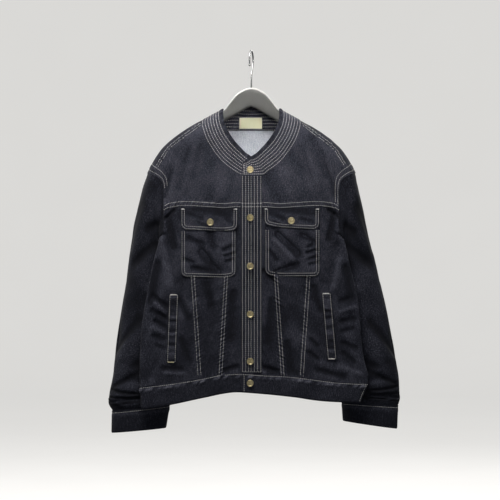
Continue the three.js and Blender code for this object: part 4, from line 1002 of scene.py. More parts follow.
def neck_back_edge(half, tip):
    """From the left shoulder round behind to the right, from the right half of the line."""
    end, middle = path(half, 0, 1), path(half, 1, tip)
    return chain((mirror_edge(end), BACK_BAND_ENDS), (mirror_edge(middle), 0.5),
                 (turned(middle), 1 - BACK_BAND_ENDS), (turned(end), 1))


flat_at = strip_between(neck_back_edge(neck_back_inner, 5), neck_back_edge(neck_back_outer, 6))
neck_panels[0] = on_body(flat_at, neck_lift(0), neck_rub)
make_cloth("neckband_back", [grid_for(neck_panels[0], EVEN)], BAND, inner=DENIM)

# %% [markdown]
# ## Waistband
# The waistband is a doubled strip too. Its one row of stitching runs along the top, and under
# that row the band is puffed up in short slanting ropes. Its foot is a plain fold.

# %% Waistband
WAIST_RAISE, WAIST_LAP_RISE, WAIST_REACH, WAIST_PLAIN_X, WAIST_UNDER_X = 1.2, 3.6, 266, 60, 21
WAIST_ROW, WAIST_WIDTH = 0.07, 46


def waist_flat(face, x0, x1, across):
    make = front if face < 0 else back

    def flat_at(u, v):
        flat_x = mix(x0, x1, across(u))
        share = np.maximum(0, (np.abs(flat_x) - WAIST_PLAIN_X) / (WAIST_REACH - WAIST_PLAIN_X))
        x = flat_x
        for _ in range(4):
            z = mix(smooth(WAIST_SEAM[face], x), smooth(HEM[face], x), v)
            reach = side_at(flat_x, z) - EDGE_SHY
            x = flat_x * mix(1, reach / WAIST_REACH, share)
        return make(x, mix(smooth(WAIST_SEAM[face], x), smooth(HEM[face], x), v))
    return flat_at


def waist_lift(over):
    def lift_at(flat, u, v):
        x = flat[0]
        climb = WAIST_LAP_RISE * ease(*LAP_SLOPE, x) if over else 0.0
        slant = x + 30 * v
        puff = np.exp(-((v - 0.19) / 0.085) ** 2) * (1.1 + 2.1 * ripple(slant / 6, 0 * x, 101))
        row = -0.7 * np.exp(-((v - WAIST_ROW) / 0.03) ** 2)
        soft = 0.6 * ripple(x / 30, v * 2.2, 103) + 0.3 * ripple(x / 9, v * 4, 105)
        edges = -1.2 * (1 - ease(0, 0.05, v)) - 1.4 * (1 - ease(1.0, 0.93, v))
        return WAIST_RAISE + climb + puff + row + soft + edges
    return lift_at


# Lighter on the roped puffs where the dye rubs off, and darker in the dips between them as painted shade.
def waist_rub_and_shade(flat, u, v):
    x = flat[0]
    roped = 0.7 + 1.0 * ripple((x + 30 * v) / 6, 0 * x, 101)
    return 0.30 * np.exp(-((v - 0.19) / 0.1) ** 2) * roped


def waist_cut(flat, u, v):
    return np.array([flat[0], -v * WAIST_WIDTH])


def waist_panel(face, x0, x1, across, over=False):
    return on_body(waist_flat(face, x0, x1, across), waist_lift(over), waist_rub_and_shade, waist_cut)


waist_panels = {
    "front_left": waist_panel(-1, WAIST_UNDER_X, -WAIST_REACH, crowded),
    "front_right": waist_panel(-1, LAP_LEFT, WAIST_REACH, crowded, over=True),
    "back": waist_panel(1, -WAIST_REACH, WAIST_REACH, crowded_both),
}
for part, spacing in (("front_left", FINE), ("front_right", FINE), ("back", COARSE)):
    make_cloth(f"waistband_{part}",
               [grid_for(waist_panels[part], spacing)], BAND, inner=DENIM)

# %% [markdown]
# ## Pockets, flaps, hand welts and placket
# These lie on the fronts. Each is the panel's own surface moved out, with rounded lower corners
# where the real one has them, so it follows every fold beneath it. The sewn edges come down to
# the cloth under them, and a flap stays free at its sides and foot.

# %% Patches on the fronts
POCKET_CORNER, FLAP_CORNER = 15, 16
SEWN_EDGE, ON_PANEL, ON_POCKET = 1.5, 2.6, 5.4  # height of a patch's face above the plain panel
PLACKET_ROWS = [-21.1, -13.4, -6.5, -0.5, 7.2, 14.6, 22.8]
POCKET_CREASES = [
    (-46, -470, -66, -478, 5, 1.2), (-42, -486, -64, -492, 4, 1.1), (-42, -500, -60, -505, 4, 0.9),
    (-150, -450, -120, -462, 8, 1.2), (-160, -500, -140, -506, 5, 1.0), (-120, -480, -80, -530, 9, 1.4),
    (-140, -520, -100, -528, 7, 1.1), (-100, -436, -90, -470, 9, 1.0),
    (152, -462, 136, -470, 4, 1.1), (158, -478, 134, -484, 4, 1.3), (156, -494, 138, -499, 4, 1.1),
    (158, -508, 140, -512, 4, 0.9), (64, -440, 112, -486, 8, 1.8), (56, -456, 96, -500, 6, -1.2),
    (44, -480, 60, -500, 6, 1.1), (110, -512, 60, -530, 7, 1.2), (120, -440, 150, -456, 6, 1.1),
]
FLAP_CREASES = [
    (-150, -392, -118, -402, 6, 1.0), (-88, -388, -52, -398, 6, 1.1), (-128, -412, -108, -420, 5, 0.8),
    (-60, -404, -42, -414, 5, 0.9), (-140, -380, -84, -386, 5, 0.9),
    (46, -392, 76, -402, 6, 1.1), (108, -384, 148, -394, 6, 1.2), (118, -402, 146, -410, 5, 0.9),
    (52, -410, 66, -416, 4, 0.8), (70, -380, 130, -384, 5, 0.8),
]
print(len(POCKET_CREASES) + len(FLAP_CREASES), "creases on pockets and flaps")


# %% Lift of the patches
def patch_edge(sizes, sign, x, z):
    """Distance in from the nearest side or foot of a pocket or flap."""
    inner, outer, foot_in, foot_out = sizes[sign]
    foot = mix(foot_in, foot_out, (sign * x - inner) / (outer - inner))
    return np.minimum(np.minimum(sign * x - inner, outer - sign * x), z - foot)


def under_flap(sign, x, z):
    return ease(0, 5, patch_edge(FLAPS, sign, x, z)) * ease(FLAP_TOP_Z + 4, FLAP_TOP_Z, z)


def pocket_lift(sign, x, z):
    edge = patch_edge(POCKETS, sign, x, z)
    lift = mix(SEWN_EDGE, ON_PANEL, ease(0, 7, edge)) - CREASE_DEPTH * fold_depth(POCKET_CREASES, x, z)
    lift = lift + 0.6 * ripple(x / 22, z / 26, 111) + 0.35 * ripple(x / 10, z / 9, 112)
    lift = lift + puckers(edge, x + z, 8, 0.5, 113)
    return mix(lift, np.minimum(lift, SEWN_EDGE), under_flap(sign, x, z))


def flap_lift(sign, x, z):
    edge = patch_edge(FLAPS, sign, x, z)
    lift = mix(3.6, ON_POCKET, ease(FLAP_TOP_Z, FLAP_TOP_Z - 26, z))
    lift = lift - 1.5 * fold_depth(FLAP_CREASES, x, z) + 0.5 * ripple(x / 22, z / 14, 115)
    lift = lift + puckers(edge, x + z, 8, 0.5, 117) - 0.7 * (1 - ease(0, 2.2, edge))
    return np.maximum(lift, 3.3)


def welt_lift(sign, x, z):
    left = welt_edge(sign, z)
    edge = np.minimum(x - left, left + WELT_WIDTH - x)
    cross = 1.6 * ripple(z / 8 + 0 * x, 0 * x, 121 + sign) + 0.4 * ripple(z / 4.5, x / 9, 123)
    return mix(SEWN_EDGE, ON_PANEL, ease(0, 3.5, edge)) + cross * ease(0, 4, edge)


def placket_lift(x, z):
    edge = np.minimum(x - LAP_LEFT, LAP_RIGHT - x)
    lift = mix(SEWN_EDGE, ON_PANEL, ease(0, 2.5, edge))
    for k, row in enumerate(PLACKET_ROWS):
        away = x - row
        lift = lift - 0.6 * np.exp(-(away / 1.5) ** 2)
        lift = lift + 0.4 * np.exp(-((away - 3.4) / 2.2) ** 2) * ripple(z / 5.5, 0 * z + 5.3 * k, 125)
    return lift + 0.5 * ripple(x / 40, z / 45, 127)


# %% Cloth laid over the fronts
def overlay(top_z, foot_at, left_at, right_at, corner, lift_at, rub=0.0):
    def panel(u, v):
        foot = foot_at(u)
        z = mix(top_z, foot, crowded(v) if corner else v)
        within = np.maximum(0, corner - (z - foot))
        inset = corner - np.sqrt(np.maximum(0, corner * corner - within * within))
        flat = front(mix(left_at(z) + inset, right_at(z) - inset, u), z)
        at, normal = body(flat)
        lift = lift_at(flat[0], z)
        rub_and_painted_light = rub_and_crease_shade(lift) + rub
        return at + normal * lift, normal, flat, rub_and_painted_light
    return panel


def sides_of(sizes, sign):
    """Left and right x of a pocket or flap, and its foot's height at both."""
    inner, outer, foot_in, foot_out = sizes[sign]
    left, right = sorted((sign * inner, sign * outer))
    return left, right, (foot_in, foot_out) if sign > 0 else (foot_out, foot_in)


def sewn_on(sign, sizes, top_z, corner, lift):
    left, right, feet = sides_of(sizes, sign)
    return overlay(top_z, lambda u: mix(*feet, u), lambda z: left, lambda z: right,
                   corner, lambda x, z: lift(sign, x, z), rub=0.02)


for sign, side in SIDES:
    pocket = sewn_on(sign, POCKETS, POCKET_TOP_Z, POCKET_CORNER, pocket_lift)
    flap = sewn_on(sign, FLAPS, FLAP_TOP_Z, FLAP_CORNER, flap_lift)
    make_cloth(f"pocket_{side}", [grid_for(pocket, FINE)], PATCH)
    make_cloth(f"flap_{side}", [grid_for(flap, FINE)], FLAP, inner=DENIM)
    _, top_z, _, foot_z = HAND_WELTS[sign]
    welt = overlay(top_z, lambda u: foot_z + 0 * u, lambda z, s=sign: welt_edge(s, z),
                   lambda z, s=sign: welt_edge(s, z) + WELT_WIDTH, 0,
                   lambda x, z, s=sign: welt_lift(s, x, z), rub=0.02)
    make_cloth(f"welt_{side}", [grid_for(welt, FINE)], PATCH)

placket_foot_z = float(smooth(WAIST_SEAM[-1], 0)) + 1.4
placket = overlay(PLACKET_TOP_Z - 0.3, lambda u: placket_foot_z + 0 * u, lambda z: LAP_LEFT + 0 * z,
                  lambda z: LAP_RIGHT + 0 * z, 0, placket_lift, rub=0.05)
make_cloth("placket", [grid_for(placket, 1.5)], PATCH)
underlap = overlay(PLACKET_TOP_Z - 0.5, lambda u: placket_foot_z + 0 * u,
                   lambda z: LAP_LEFT + 1.6 + 0 * z, lambda z: LAP_RIGHT - 0.3 + 0 * z, 0,
                   lambda x, z: 0 * x - 0.2)
make_cloth("underlap", [grid_for(underlap, COARSE)], PATCH)

# %% [markdown]
# ## Sleeves and cuffs
# Each sleeve is cut in two, with a seam under the arm and one behind. The cuffs are closed
# tubes, so their first and last column are welded.

# %% Sleeves
CUFFS = {-1: (337, -919, 206, -907), 1: (352, -909, 222, -890)}
CUFF_Y, CUFF_DEPTH, CUFF_RAISE, CUFF_WALL = 24, 28, 1.0, 2.6
CUFF_ROW = 0.1
DARK_SLEEVE = -0.10  # the sleeves and cuffs are a little darker all over



def row_lengths(sign):
    middles = [sleeve_point(sign, np.array([k, k], float), np.array([0, math.pi])).mean(axis=1)
               for k in range(LAST_ROW + 1)]
    return np.concatenate([[0], np.cumsum(np.linalg.norm(np.diff(middles, axis=0), axis=1))])


def sleeve_panel(sign, angle0, angle1):
    lengths = row_lengths(sign)

    def panel(u, v):
        s = np.interp(v * lengths[-1], lengths, np.arange(LAST_ROW + 1))
        angle = mix(angle0, angle1, u)
        at, normal = sleeve(sign, s, angle)
        flat = np.array([(angle - math.pi / 2) / (2 * math.pi) * SLEEVE_GIRTH, -v * lengths[-1]])
        rub_and_painted_light = DARK_SLEEVE + rub_and_crease_shade(sleeve_lift(sign, s, angle))
        return at, normal, flat, rub_and_painted_light
    return panel


def cuff_surface(sign, angle, v):
    """Points, normals and millimetres round the cuff, which narrows from the sleeve's last ring."""
    top = SLEEVES[sign][LAST_ROW]
    foot = CUFFS[sign]
    middle_x = mix(top[0] + top[3], foot[0] + foot[2], v) / 2
    half_x = mix(top[0] - top[3], foot[0] - foot[2], v) / 2
    middle_z = mix(top[2] + top[5], foot[1] + foot[3], v) / 2
    slant = mix(top[2] - top[5], foot[1] - foot[3], v) / 2
    depth = mix(top[6], CUFF_DEPTH, v)
    at = np.array([sign * (middle_x + half_x * np.cos(angle)), CUFF_Y - depth * np.sin(angle),
                   middle_z + slant * np.cos(angle)])
    normal = np.array([sign * depth * np.cos(angle), -half_x * np.sin(angle), 0 * angle])
    normal /= np.linalg.norm(normal, axis=0)
    along = angle / (2 * math.pi) * SLEEVE_GIRTH
    puff = np.exp(-((v - 0.22) / 0.1) ** 2) * (0.5 + 0.7 * ripple(along / 7, 0 * v, 131 + sign))
    lift = CUFF_RAISE + puff + 0.5 * ripple(along / 26, v * 2, 133 + sign)
    lift = lift - 0.6 * np.exp(-((v - CUFF_ROW) / 0.03) ** 2) - 1.2 * (1 - ease(1.0, 0.94, v))
    return at + normal * lift, normal, along


def cuff_panel(sign):
    def panel(u, v):
        at, normal, along = cuff_surface(sign, 2 * math.pi * u, v)
        rub_and_painted_light = DARK_SLEEVE + 0.18 * np.exp(-((v - 0.2) / 0.12) ** 2) + 0.15 * ease(0.93, 1.0, v)
        return at, normal, np.array([along, -58 * v]), rub_and_painted_light
    return panel


for sign, side in SIDES:
    upper = sleeve_panel(sign, BACK_SEAM_ANGLE - 2 * math.pi, UNDER_SEAM_ANGLE)
    under = sleeve_panel(sign, UNDER_SEAM_ANGLE, BACK_SEAM_ANGLE)
    make_cloth(f"sleeve_upper_{side}", [grid_for(upper, COARSE)], PANEL)
    make_cloth(f"sleeve_under_{side}", [grid_for(under, COARSE)], PANEL)
    make_cloth(f"cuff_{side}", [grid_for(cuff_panel(sign), EVEN)], CUFF_WALL,
               inner=DENIM, closed=True)

# %% [markdown]
# ## Label
# A small, bare woven label is sewn flat inside the back of the neck. It lies on the inside of
# the yoke, so its face looks the other way from all the other cloth. It could be a flat card,
# but then it would cut through the neck's curve.

# %% Label
LABEL_X, LABEL_Z, LABEL_DEEP, LABEL_THICK = (-29, 26), (-157, -184), 3.5, 0.6


def label_panel(u, v):
    flat = back(mix(*LABEL_X, u), mix(*LABEL_Z, v))
    at, normal = body(flat)
    deep = LABEL_DEEP + 0.25 * ripple(u * 3, v * 2, 141)
    return at - normal * deep, -normal, flat, 0 * u


make_cloth("neck_label", [(28, 14, label_panel)], LABEL_THICK,
           inner=LABEL_CLOTH, outer=LABEL_CLOTH)

# %% [markdown]
# ## Stitches
# The stitches are what the eye finds first on this jacket, so each one is a real thread: a small
# stretched ball half sunk in the cloth, 4.6 mm from the next. A painted line would look flat from
# the side. The rows follow the seam tables above, lifted to whatever cloth is outermost there.

# %% Laying stitch rows
PITCH, LONG, WIDE, THICK = 4.6, 3.2, 1.15, 0.9
SUNK = 0.12  # height of a stitch's middle over the cloth
# Distance of each row from its seam or edge.
V_ROWS, CHEST_ROWS, BACK_YOKE_ROWS = (3.4, -3.4), (4.0, -4.0), (-3.5, 3.5)
SHOULDER_ROWS, ARMHOLE_ROWS, PATCH_ROWS, WELT_ROW = (1.2, 10.6), (2.6, 8.6), (2.2, 8.2), 2.6
PLACKET_CROSS_Z = (-365.5, -373.7)  # the two rows across the placket, level with the chest seam
ARMHOLE_ROWS_TO = {-1: 5, 1: 6}  # marks of the armhole below which its rows lie in the fold
YOKE_SHORT, ARMHOLE_SHORT = 7, 4  # places left out at the shoulder's tip, where rows would cross


def outermost(x, t):
    """Height of the topmost cloth at a place: the panel, or the patch that covers it."""
    z = ridge_z(x) - drop_at(t)
    lift = relief(x, t)
    for sign in (-1, 1):
        inside = (patch_edge(POCKETS, sign, x, z) > 0) & (z < POCKET_TOP_Z)
        lift = np.where(inside, pocket_lift(sign, x, z), lift)
        inside = (patch_edge(FLAPS, sign, x, z) > 0) & (z < FLAP_TOP_Z)
        lift = np.where(inside, flap_lift(sign, x, z), lift)
        left, top, foot = welt_edge(sign, z), HAND_WELTS[sign][1], HAND_WELTS[sign][3]
        inside = (x > left) & (x < left + WELT_WIDTH) & (z < top) & (z > foot)
        lift = np.where(inside, welt_lift(sign, x, z), lift)
    inside = (x > LAP_LEFT) & (x < LAP_RIGHT) & (z < PLACKET_TOP_Z)
    return np.where(inside & (t < 0), placket_lift(x, z), lift)


def dense(line, first=0, last=None):
    """The line as 80 places on its smooth curve."""
    return path(line, first, last)(np.linspace(0, 1, 80)).T


def laid(line):
    """A row along a list of places on the body."""
    line = np.asarray(line, float)
    run = np.concatenate([[0], np.cumsum(np.hypot(*np.diff(line, axis=0).T))])

    def row(share):
        flat = np.array([np.interp(share * run[-1], run, line[:, k]) for k in (0, 1)])
        at, normal = body(flat)
        return at + normal * outermost(*flat), normal
    return row


def along(panel, u, v):
    """A row on a panel, from one share of its width and height to another."""
    def row(share):
        zero = 0 * share
        return panel(mix(*u, share) + zero, mix(*v, share) + zero)[:2]
    return row


# %% Stitches from balls
def unit(rows):
    return rows / np.linalg.norm(rows, axis=1)[:, None]


def stitch_spots(row, pitch):
    """Middle, outward and onward direction of each stitch of a row."""
    at, normal = row(np.linspace(0, 1, 700))
    run = np.concatenate([[0], np.cumsum(np.linalg.norm(np.diff(at), axis=0))])
    number = max(1, int(run[-1] / pitch))
    spots = (np.arange(number) + 0.5) / number * run[-1]

    def read(line, at_runs):
        return np.array([np.interp(at_runs, run, values) for values in line]).T
    return read(at, spots), unit(read(normal, spots)), unit(read(at, spots + 1.2) - read(at, spots - 1.2))


def many_balls(name, count):
    """A mesh of equal balls, and the number of the ball that each corner belongs to."""
    bm = bmesh.new()
    number = bm.verts.layers.int.new("number")
    bmesh.ops.create_uvsphere(bm, u_segments=6, v_segments=3, radius=0.5)
    made = 1
    while made < count:
        for item in bmesh.ops.duplicate(bm, geom=bm.verts[:] + bm.edges[:] + bm.faces[:])["geom"]:
            if isinstance(item, bmesh.types.BMVert):
                item[number] += made
        made *= 2
    bmesh.ops.delete(bm, geom=[v for v in bm.verts if v[number] >= count], context="VERTS")
    numbers = np.array([v[number] for v in bm.verts])
    return mesh_of(bm, name), numbers


def sew(name, rows, thread=THREAD, pitch=PITCH, size=(WIDE, THICK, LONG), seed=1, across=False):
    """One object of stitches along all the rows, each a little uneven."""
    rng = np.random.default_rng(seed)
    at, up, ahead = (np.vstack(parts) for parts in zip(*(stitch_spots(row, pitch) for row in rows)))
    side = unit(np.cross(ahead, up))
    up = np.cross(side, ahead)
    turn = rng.normal(0, 0.05, len(at))[:, None] + (math.pi / 2 if across else 0)
    ahead, side = (ahead * np.cos(turn) + side * np.sin(turn), side * np.cos(turn) - ahead * np.sin(turn))
    long = size[2] * rng.uniform(0.9, 1.06, len(at))[:, None]
    mesh, number = many_balls(name, len(at))
    ball = np.array([v.co for v in mesh.vertices])
    points = ((at + up * SUNK)[number] + ball[:, 0:1] * (side * size[0])[number]
              + ball[:, 1:2] * (up * size[1])[number] + ball[:, 2:3] * (ahead * long)[number])
    mesh.vertices.foreach_set("co", (points * MM).ravel())
    mesh.shade_smooth()
    piece = keep_object(name, mesh, [thread])
    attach(piece, "root")
    print(f"{name}: {len(at)} stitches, {len(mesh.polygons)} faces")


# %% Sewing the fronts
def sewn_ring(sign, sizes, top, by, corner):
    """Places inside a patch's edge: down one side, round both corners and up the other side."""
    left, right, feet = sides_of(sizes, sign)
    round_by = max(0.5, corner - by)
    marks = []
    for edge, foot, turn in ((left, feet[0], 1), (right, feet[1], -1)):
        low = foot + by
        arc = [(edge + turn * (by + round_by - round_by * math.cos(a)),
                low + round_by - round_by * math.sin(a)) for a in np.linspace(0, math.pi / 2, 7)]
        down = [(edge + turn * by, z) for z in np.linspace(top, low + round_by + 1, 12)]
        marks.append(down + arc)
    return np.array([front(x, z) for x, z in marks[0] + marks[1][::-1]])


for sign, side in SIDES:
    rows = []
    for which in ("outer", "inner"):
        seam = dense(v_seam(sign, which))
        rows += [laid(offset(seam, by)) for by in V_ROWS]
    chest = dense(chest_seam[sign])
    rows += [laid(offset(chest, by)) for by in CHEST_ROWS]
    yoke = dense(shoulder_seam[sign])[:-YOKE_SHORT]
    rows += [laid(offset(yoke, by * sign)) for by in SHOULDER_ROWS]
    ahead = dense(armhole_front[sign], 0, ARMHOLE_ROWS_TO[sign])
    behind = dense(armhole_back[sign])[ARMHOLE_SHORT:]
    rows += [laid(offset(ahead, -sign * by)) for by in ARMHOLE_ROWS]
    rows += [laid(offset(behind, sign * by)) for by in ARMHOLE_ROWS]
    sew(f"stitches_seams_{side}", rows, seed=151 + sign)

    below_flap = min(FLAPS[sign][2:]) - 1
    rows = [laid(sewn_ring(sign, POCKETS, below_flap, by, POCKET_CORNER)) for by in PATCH_ROWS]
    rows += [laid(sewn_ring(sign, FLAPS, FLAP_TOP_Z - 1, by, FLAP_CORNER)) for by in PATCH_ROWS]
    _, top, _, foot = HAND_WELTS[sign]
    welt_rows = [[front(welt_edge(sign, z) + x, z) for z in np.linspace(top - 2, foot + 2, 20)]
                 for x in (WELT_ROW, WELT_WIDTH - WELT_ROW)]
    ends = [[front(welt_edge(sign, z) + 3, z), front(welt_edge(sign, z) + WELT_WIDTH - 3, z)]
            for z in (top - 2.5, foot + 2.5)]
    sew(f"stitches_pockets_{side}", rows + [laid(line) for line in welt_rows + ends], seed=155 + sign)

foot_z = placket_foot_z + 3
rows = [laid([front(x, z) for z in np.linspace(PLACKET_TOP_Z - 3, foot_z, 60)]) for x in PLACKET_ROWS]
rows += [laid([front(x, z) for x in np.linspace(-22, 24.5, 12)]) for z in (*PLACKET_CROSS_Z, foot_z)]
sew("stitches_placket", rows, seed=161)

# %% Sewing the bands, the back and the sleeves
def within(row, deep):
    """The same row on the inner face of the cloth."""
    def inner_row(share):
        at, normal = row(share)
        return at - normal * deep, -normal
    return inner_row


for sign, side in ((-1, "front_left"), (0, "back"), (1, "front_right")):
    rows = [along(neck_panels[sign], (0.01, 0.99), (v, v)) for v in NECK_ROWS]
    rows += [within(row, BAND) for row in rows]
    if sign:
        rows += [along(neck_panels[sign], (0.012, 0.012), (0.2, 0.97))]
    sew(f"stitches_neckband_{side}", rows, seed=165 + sign)
waist_rows = [along(panel, (0.004, 0.996), (WAIST_ROW, WAIST_ROW)) for panel in waist_panels.values()]
waist_rows += [along(waist_panels["front_right"], (0.9, 0.9), (0.1, 0.95))]
waist_rows += [along(waist_panels["front_right"], (0.012, 0.012), (0.1, 0.95))]
waist_rows += [laid(offset(dense(back_yoke_seam), by)) for by in BACK_YOKE_ROWS]
sew("stitches_waistband", waist_rows, seed=169)
for sign, side in SIDES:
    def seam_row(turn, sign=sign):
        def row(share):
            return sleeve(sign, mix(0.15, LAST_ROW - 0.1, share), BACK_SEAM_ANGLE + turn + 0 * share)
        return row
    rows = [seam_row(0.06), seam_row(0.17)]
    rows += [along(cuff_panel(sign), (0, 1), (CUFF_ROW, CUFF_ROW))]
    sew(f"stitches_sleeve_{side}", rows, seed=173 + sign)


# %% Bartacks
def bartack(name, x, z, length, thread, seed):
    row = laid([front(x - length / 2, z), front(x + length / 2, z)])
    sew(name, [row], thread, pitch=0.75, size=(0.85, 1.0, 3.2), seed=seed, across=True)


for sign, side in SIDES:
    top, foot = HAND_WELTS[sign][1], HAND_WELTS[sign][3]
    low = BARTACK_THREADS["cream" if sign < 0 else "white"]
    high = BARTACK_THREADS["white"] if sign < 0 else THREAD
    for end, z, thread in (("foot", foot + 1.8, low), ("top", top - 1.8, high)):
        bartack(f"bartack_{end}_{side}", float(welt_edge(sign, z)) + 10.5, z, 15, thread, 177 + sign)
    for x in FLAPS[sign][:2]:
        inset = 4 if x < 100 else -4
        bartack(f"bartack_flap_{side}_{x}", sign * (x + inset), FLAP_TOP_Z - 2.5, 6, THREAD, 181 + sign)
label_rows = [along(label_panel, (u, u), (0.04, 0.96)) for u in (0.035, 0.965)]
sew("stitches_label", label_rows, pitch=2.4, size=(0.6, 0.5, 1.9), seed=185)

# %% [markdown]
# ## Snaps
# A snap cap is pressed from sheet brass: a flat dish inside a rolled rim. It is turned on a
# profile like a lathe would, since a plain disc would have no rim to catch the light.

# %% Snap caps
CAP_PROFILE = [(0.0, 2.5), (1.6, 2.5), (3.2, 2.42), (4.6, 2.2), (5.4, 2.05), (5.9, 2.2), (6.3, 2.75),
               (6.8, 3.3), (7.3, 3.5), (7.8, 3.3), (8.15, 2.7), (8.25, 1.9), (8.1, 0.9), (7.9, 0.0)]
SNAPS = [("snap_1", -2.6, -285, 4.8), ("snap_2", -2.6, -400, 2.9), ("snap_3", -2.6, -516, 2.9),
         ("snap_4", -2.6, -631, 2.9), ("snap_5", -2.6, -744, 2.9), ("snap_waistband", -2.6, -796, 5.1),
         ("flap_snap_left", -98, -411, 5.7), ("flap_snap_right", 95.5, -407, 5.7)]


def turned_piece(bm, profile, steps=56):
    """Spins a profile of radius and height round Z and welds it."""
    marks = [bm.verts.new((r * MM, 0, h * MM)) for r, h in profile]
    edges = [bm.edges.new(pair) for pair in zip(marks[:-1], marks[1:])]
    bmesh.ops.spin(bm, geom=marks + edges, axis=(0, 0, 1), cent=(0, 0, 0), steps=steps,
                   angle=2 * math.pi, use_merge=True)
    bmesh.ops.remove_doubles(bm, verts=bm.verts[:], dist=0.01 * MM)
    bmesh.ops.recalc_face_normals(bm, faces=bm.faces[:])


for node, x, z, raise_by in SNAPS:
    at, normal = (value.ravel() for value in body(front(np.array([float(x)]), np.array([float(z)]))))
    bm = bmesh.new()
    turned_piece(bm, CAP_PROFILE)
    spot = Vector(normal).to_track_quat("Z", "Y").to_matrix().to_4x4()
    spot.translation = Vector((at + normal * raise_by) * MM)
    bmesh.ops.transform(bm, matrix=spot, verts=bm.verts[:])
    mesh = mesh_of(bm, f"cap_{node}")
    mesh.shade_smooth()
    cap = keep_object(f"cap_{node}", mesh, [BRASS])
    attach(cap, "root")
    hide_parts(node)
print(len(SNAPS), "snap caps")

# %% [markdown]
# ## Hanger
# The hanger is a hollow moulding with broad, rounded ends that hold the shoulders up. Here it is
# one skin whose height and depth are read from tables along its length. The hook is bent wire.

# %% Hanger body
HANGER_TOP = [(0, -86.6), (13, -89), (26, -95.5), (35, -102), (44, -112), (52, -122.5), (62, -136.5),
              (70, -143.5), (76, -147)]
HANGER_FOOT = [(0, -132), (12, -137), (62, -166), (110, -191), (160, -217), (196, -240), (206, -243)]
HANGER_DEPTH = [(0, 7), (60, 8), (120, 12), (180, 15), (206, 14)]
HANGER_END, ROUND_FROM, ROUND_LENGTH = 206, 194, 13
ARCH_END, SHOULDER_CLEAR = HANGER_TOP[-1][0], 3.25


def hanger_skin(x, angle):
    """Places round the moulding: its own arch in the middle, the shoulder line further out."""
    reach = np.abs(x)
    top = np.where(reach < ARCH_END, smooth(HANGER_TOP, reach), ridge_z(x) - SHOULDER_CLEAR)
    foot, depth = smooth(HANGER_FOOT, reach), smooth(HANGER_DEPTH, reach)
    end = np.sqrt(np.maximum(0.12, 1 - (np.maximum(0, reach - ROUND_FROM) / ROUND_LENGTH) ** 2))
    high = np.maximum(6, (top - foot) / 2) * end
    middle = (top + foot) / 2

    def squared(v):
        return np.sign(v) * np.abs(v) ** 0.6
    return np.array([x, -depth * end * squared(np.sin(angle)), middle + high * squared(np.cos(angle))])


def skin_object(name, node, material, place, columns, rows, extra=None, wear_and_painted_light=None):
    """One closed skin laid on a surface given by shares along and round it."""
    bm = bmesh.new()
    wear_and_light_layer = bm.verts.layers.float.new("wear_and_painted_light")
    grid = bmesh.ops.create_grid(bm, x_segments=columns, y_segments=rows, size=0.5)["verts"]
    shares = np.array([v.co[:2] for v in grid]).T + 0.5
    points = place(*shares)
    wear_and_light_values = 0 * shares[0] if wear_and_painted_light is None else wear_and_painted_light(*shares)
    for k, v in enumerate(grid):
        v.co = points[:, k] * MM
        v[wear_and_light_layer] = wear_and_light_values[k]
    bmesh.ops.remove_doubles(bm, verts=bm.verts[:], dist=0.005 * MM)
    bmesh.ops.holes_fill(bm, edges=bm.edges[:], sides=0)
    if extra:
        extra(bm)
    bmesh.ops.recalc_face_normals(bm, faces=bm.faces[:])
    mesh = mesh_of(bm, name)
    mesh.shade_smooth()
    mesh.set_sharp_from_angle(angle=math.radians(50))
    piece = keep_object(name, mesh, [material])
    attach(piece, "root")
    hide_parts(node)
    print(f"{name}: {len(mesh.polygons)} faces")


def hanger_place(u, v):
    return hanger_skin(mix(-HANGER_END, HANGER_END, crowded_both(u)), 2 * math.pi * v)


def hanger_painted_highlight(u, v):
    """A pale line along the moulding's upper front edge: a painted highlight."""
    return ease(0.86, 0.96, np.cos(2 * math.pi * (v - 0.045)))


skin_object("moulded_hanger", "hanger_body", PLASTIC, hanger_place, 180, 40,
            wear_and_painted_light=hanger_painted_highlight)

# %% Hook
WIRE, TIP_BALL = 2.0, 2.9
HOOK = [(-20, -33), (-21.5, -19), (-15.2, -3.8), (0, 2), (15.2, -3.8), (21.5, -19), (17, -34),
        (6, -46), (0, -60), (0, -86.2)]
HOOK_TURN = 0.2  # the hook stands a little askew in its hole


def hook_line(share):
    y, z = path(HOOK)(share)
    return np.array([HOOK_TURN * y, y, z])


def hook_place(u, v):
    e = 0.002
    ahead = hook_line(np.minimum(1, u + e)) - hook_line(np.maximum(0, u - e))
    ahead /= np.linalg.norm(ahead, axis=0)
    side = np.array([1.0, -HOOK_TURN, 0.0])[:, None] + 0 * ahead
    side -= ahead * np.sum(side * ahead, axis=0)
    side /= np.linalg.norm(side, axis=0)
    up = np.cross(side.T, ahead.T).T
    angle = 2 * math.pi * v
    return hook_line(u) + WIRE * (side * np.cos(angle) + up * np.sin(angle))


def hook_tip(bm):
    tip = Matrix.Translation(Vector(hook_line(np.array([0.0])).ravel() * MM))
    bmesh.ops.create_uvsphere(bm, u_segments=20, v_segments=14, radius=TIP_BALL * MM, matrix=tip)


skin_object("hook_wire", "hanger_hook", STEEL, hook_place, 150, 18, extra=hook_tip)

# %% [markdown]
# ## Materials
# Raw denim is indigo warp over undyed weft. The dye sits on the surface, so it is almost black
# where it is whole and grey where a raised edge has rubbed. An image could carry that, but it
# would fit one view only. The nodes below read the millimetres of cloth from the UV map and
# a value from each corner that holds the rubbing together with painted shade in the creases and
# painted light on the upper fronts, so twill, slubs, rubbed edges and painted shade follow the pieces.

# %% Node helpers
def add(material, kind, inputs=None, **settings):
    made = material.node_tree.nodes.new("ShaderNode" + kind)
    for key, value in settings.items():
        setattr(made, key, value)
    for key, value in (inputs or {}).items():
        made.inputs[key].default_value = value
    return made


def link(material, source, target):
    material.node_tree.links.new(source, target)


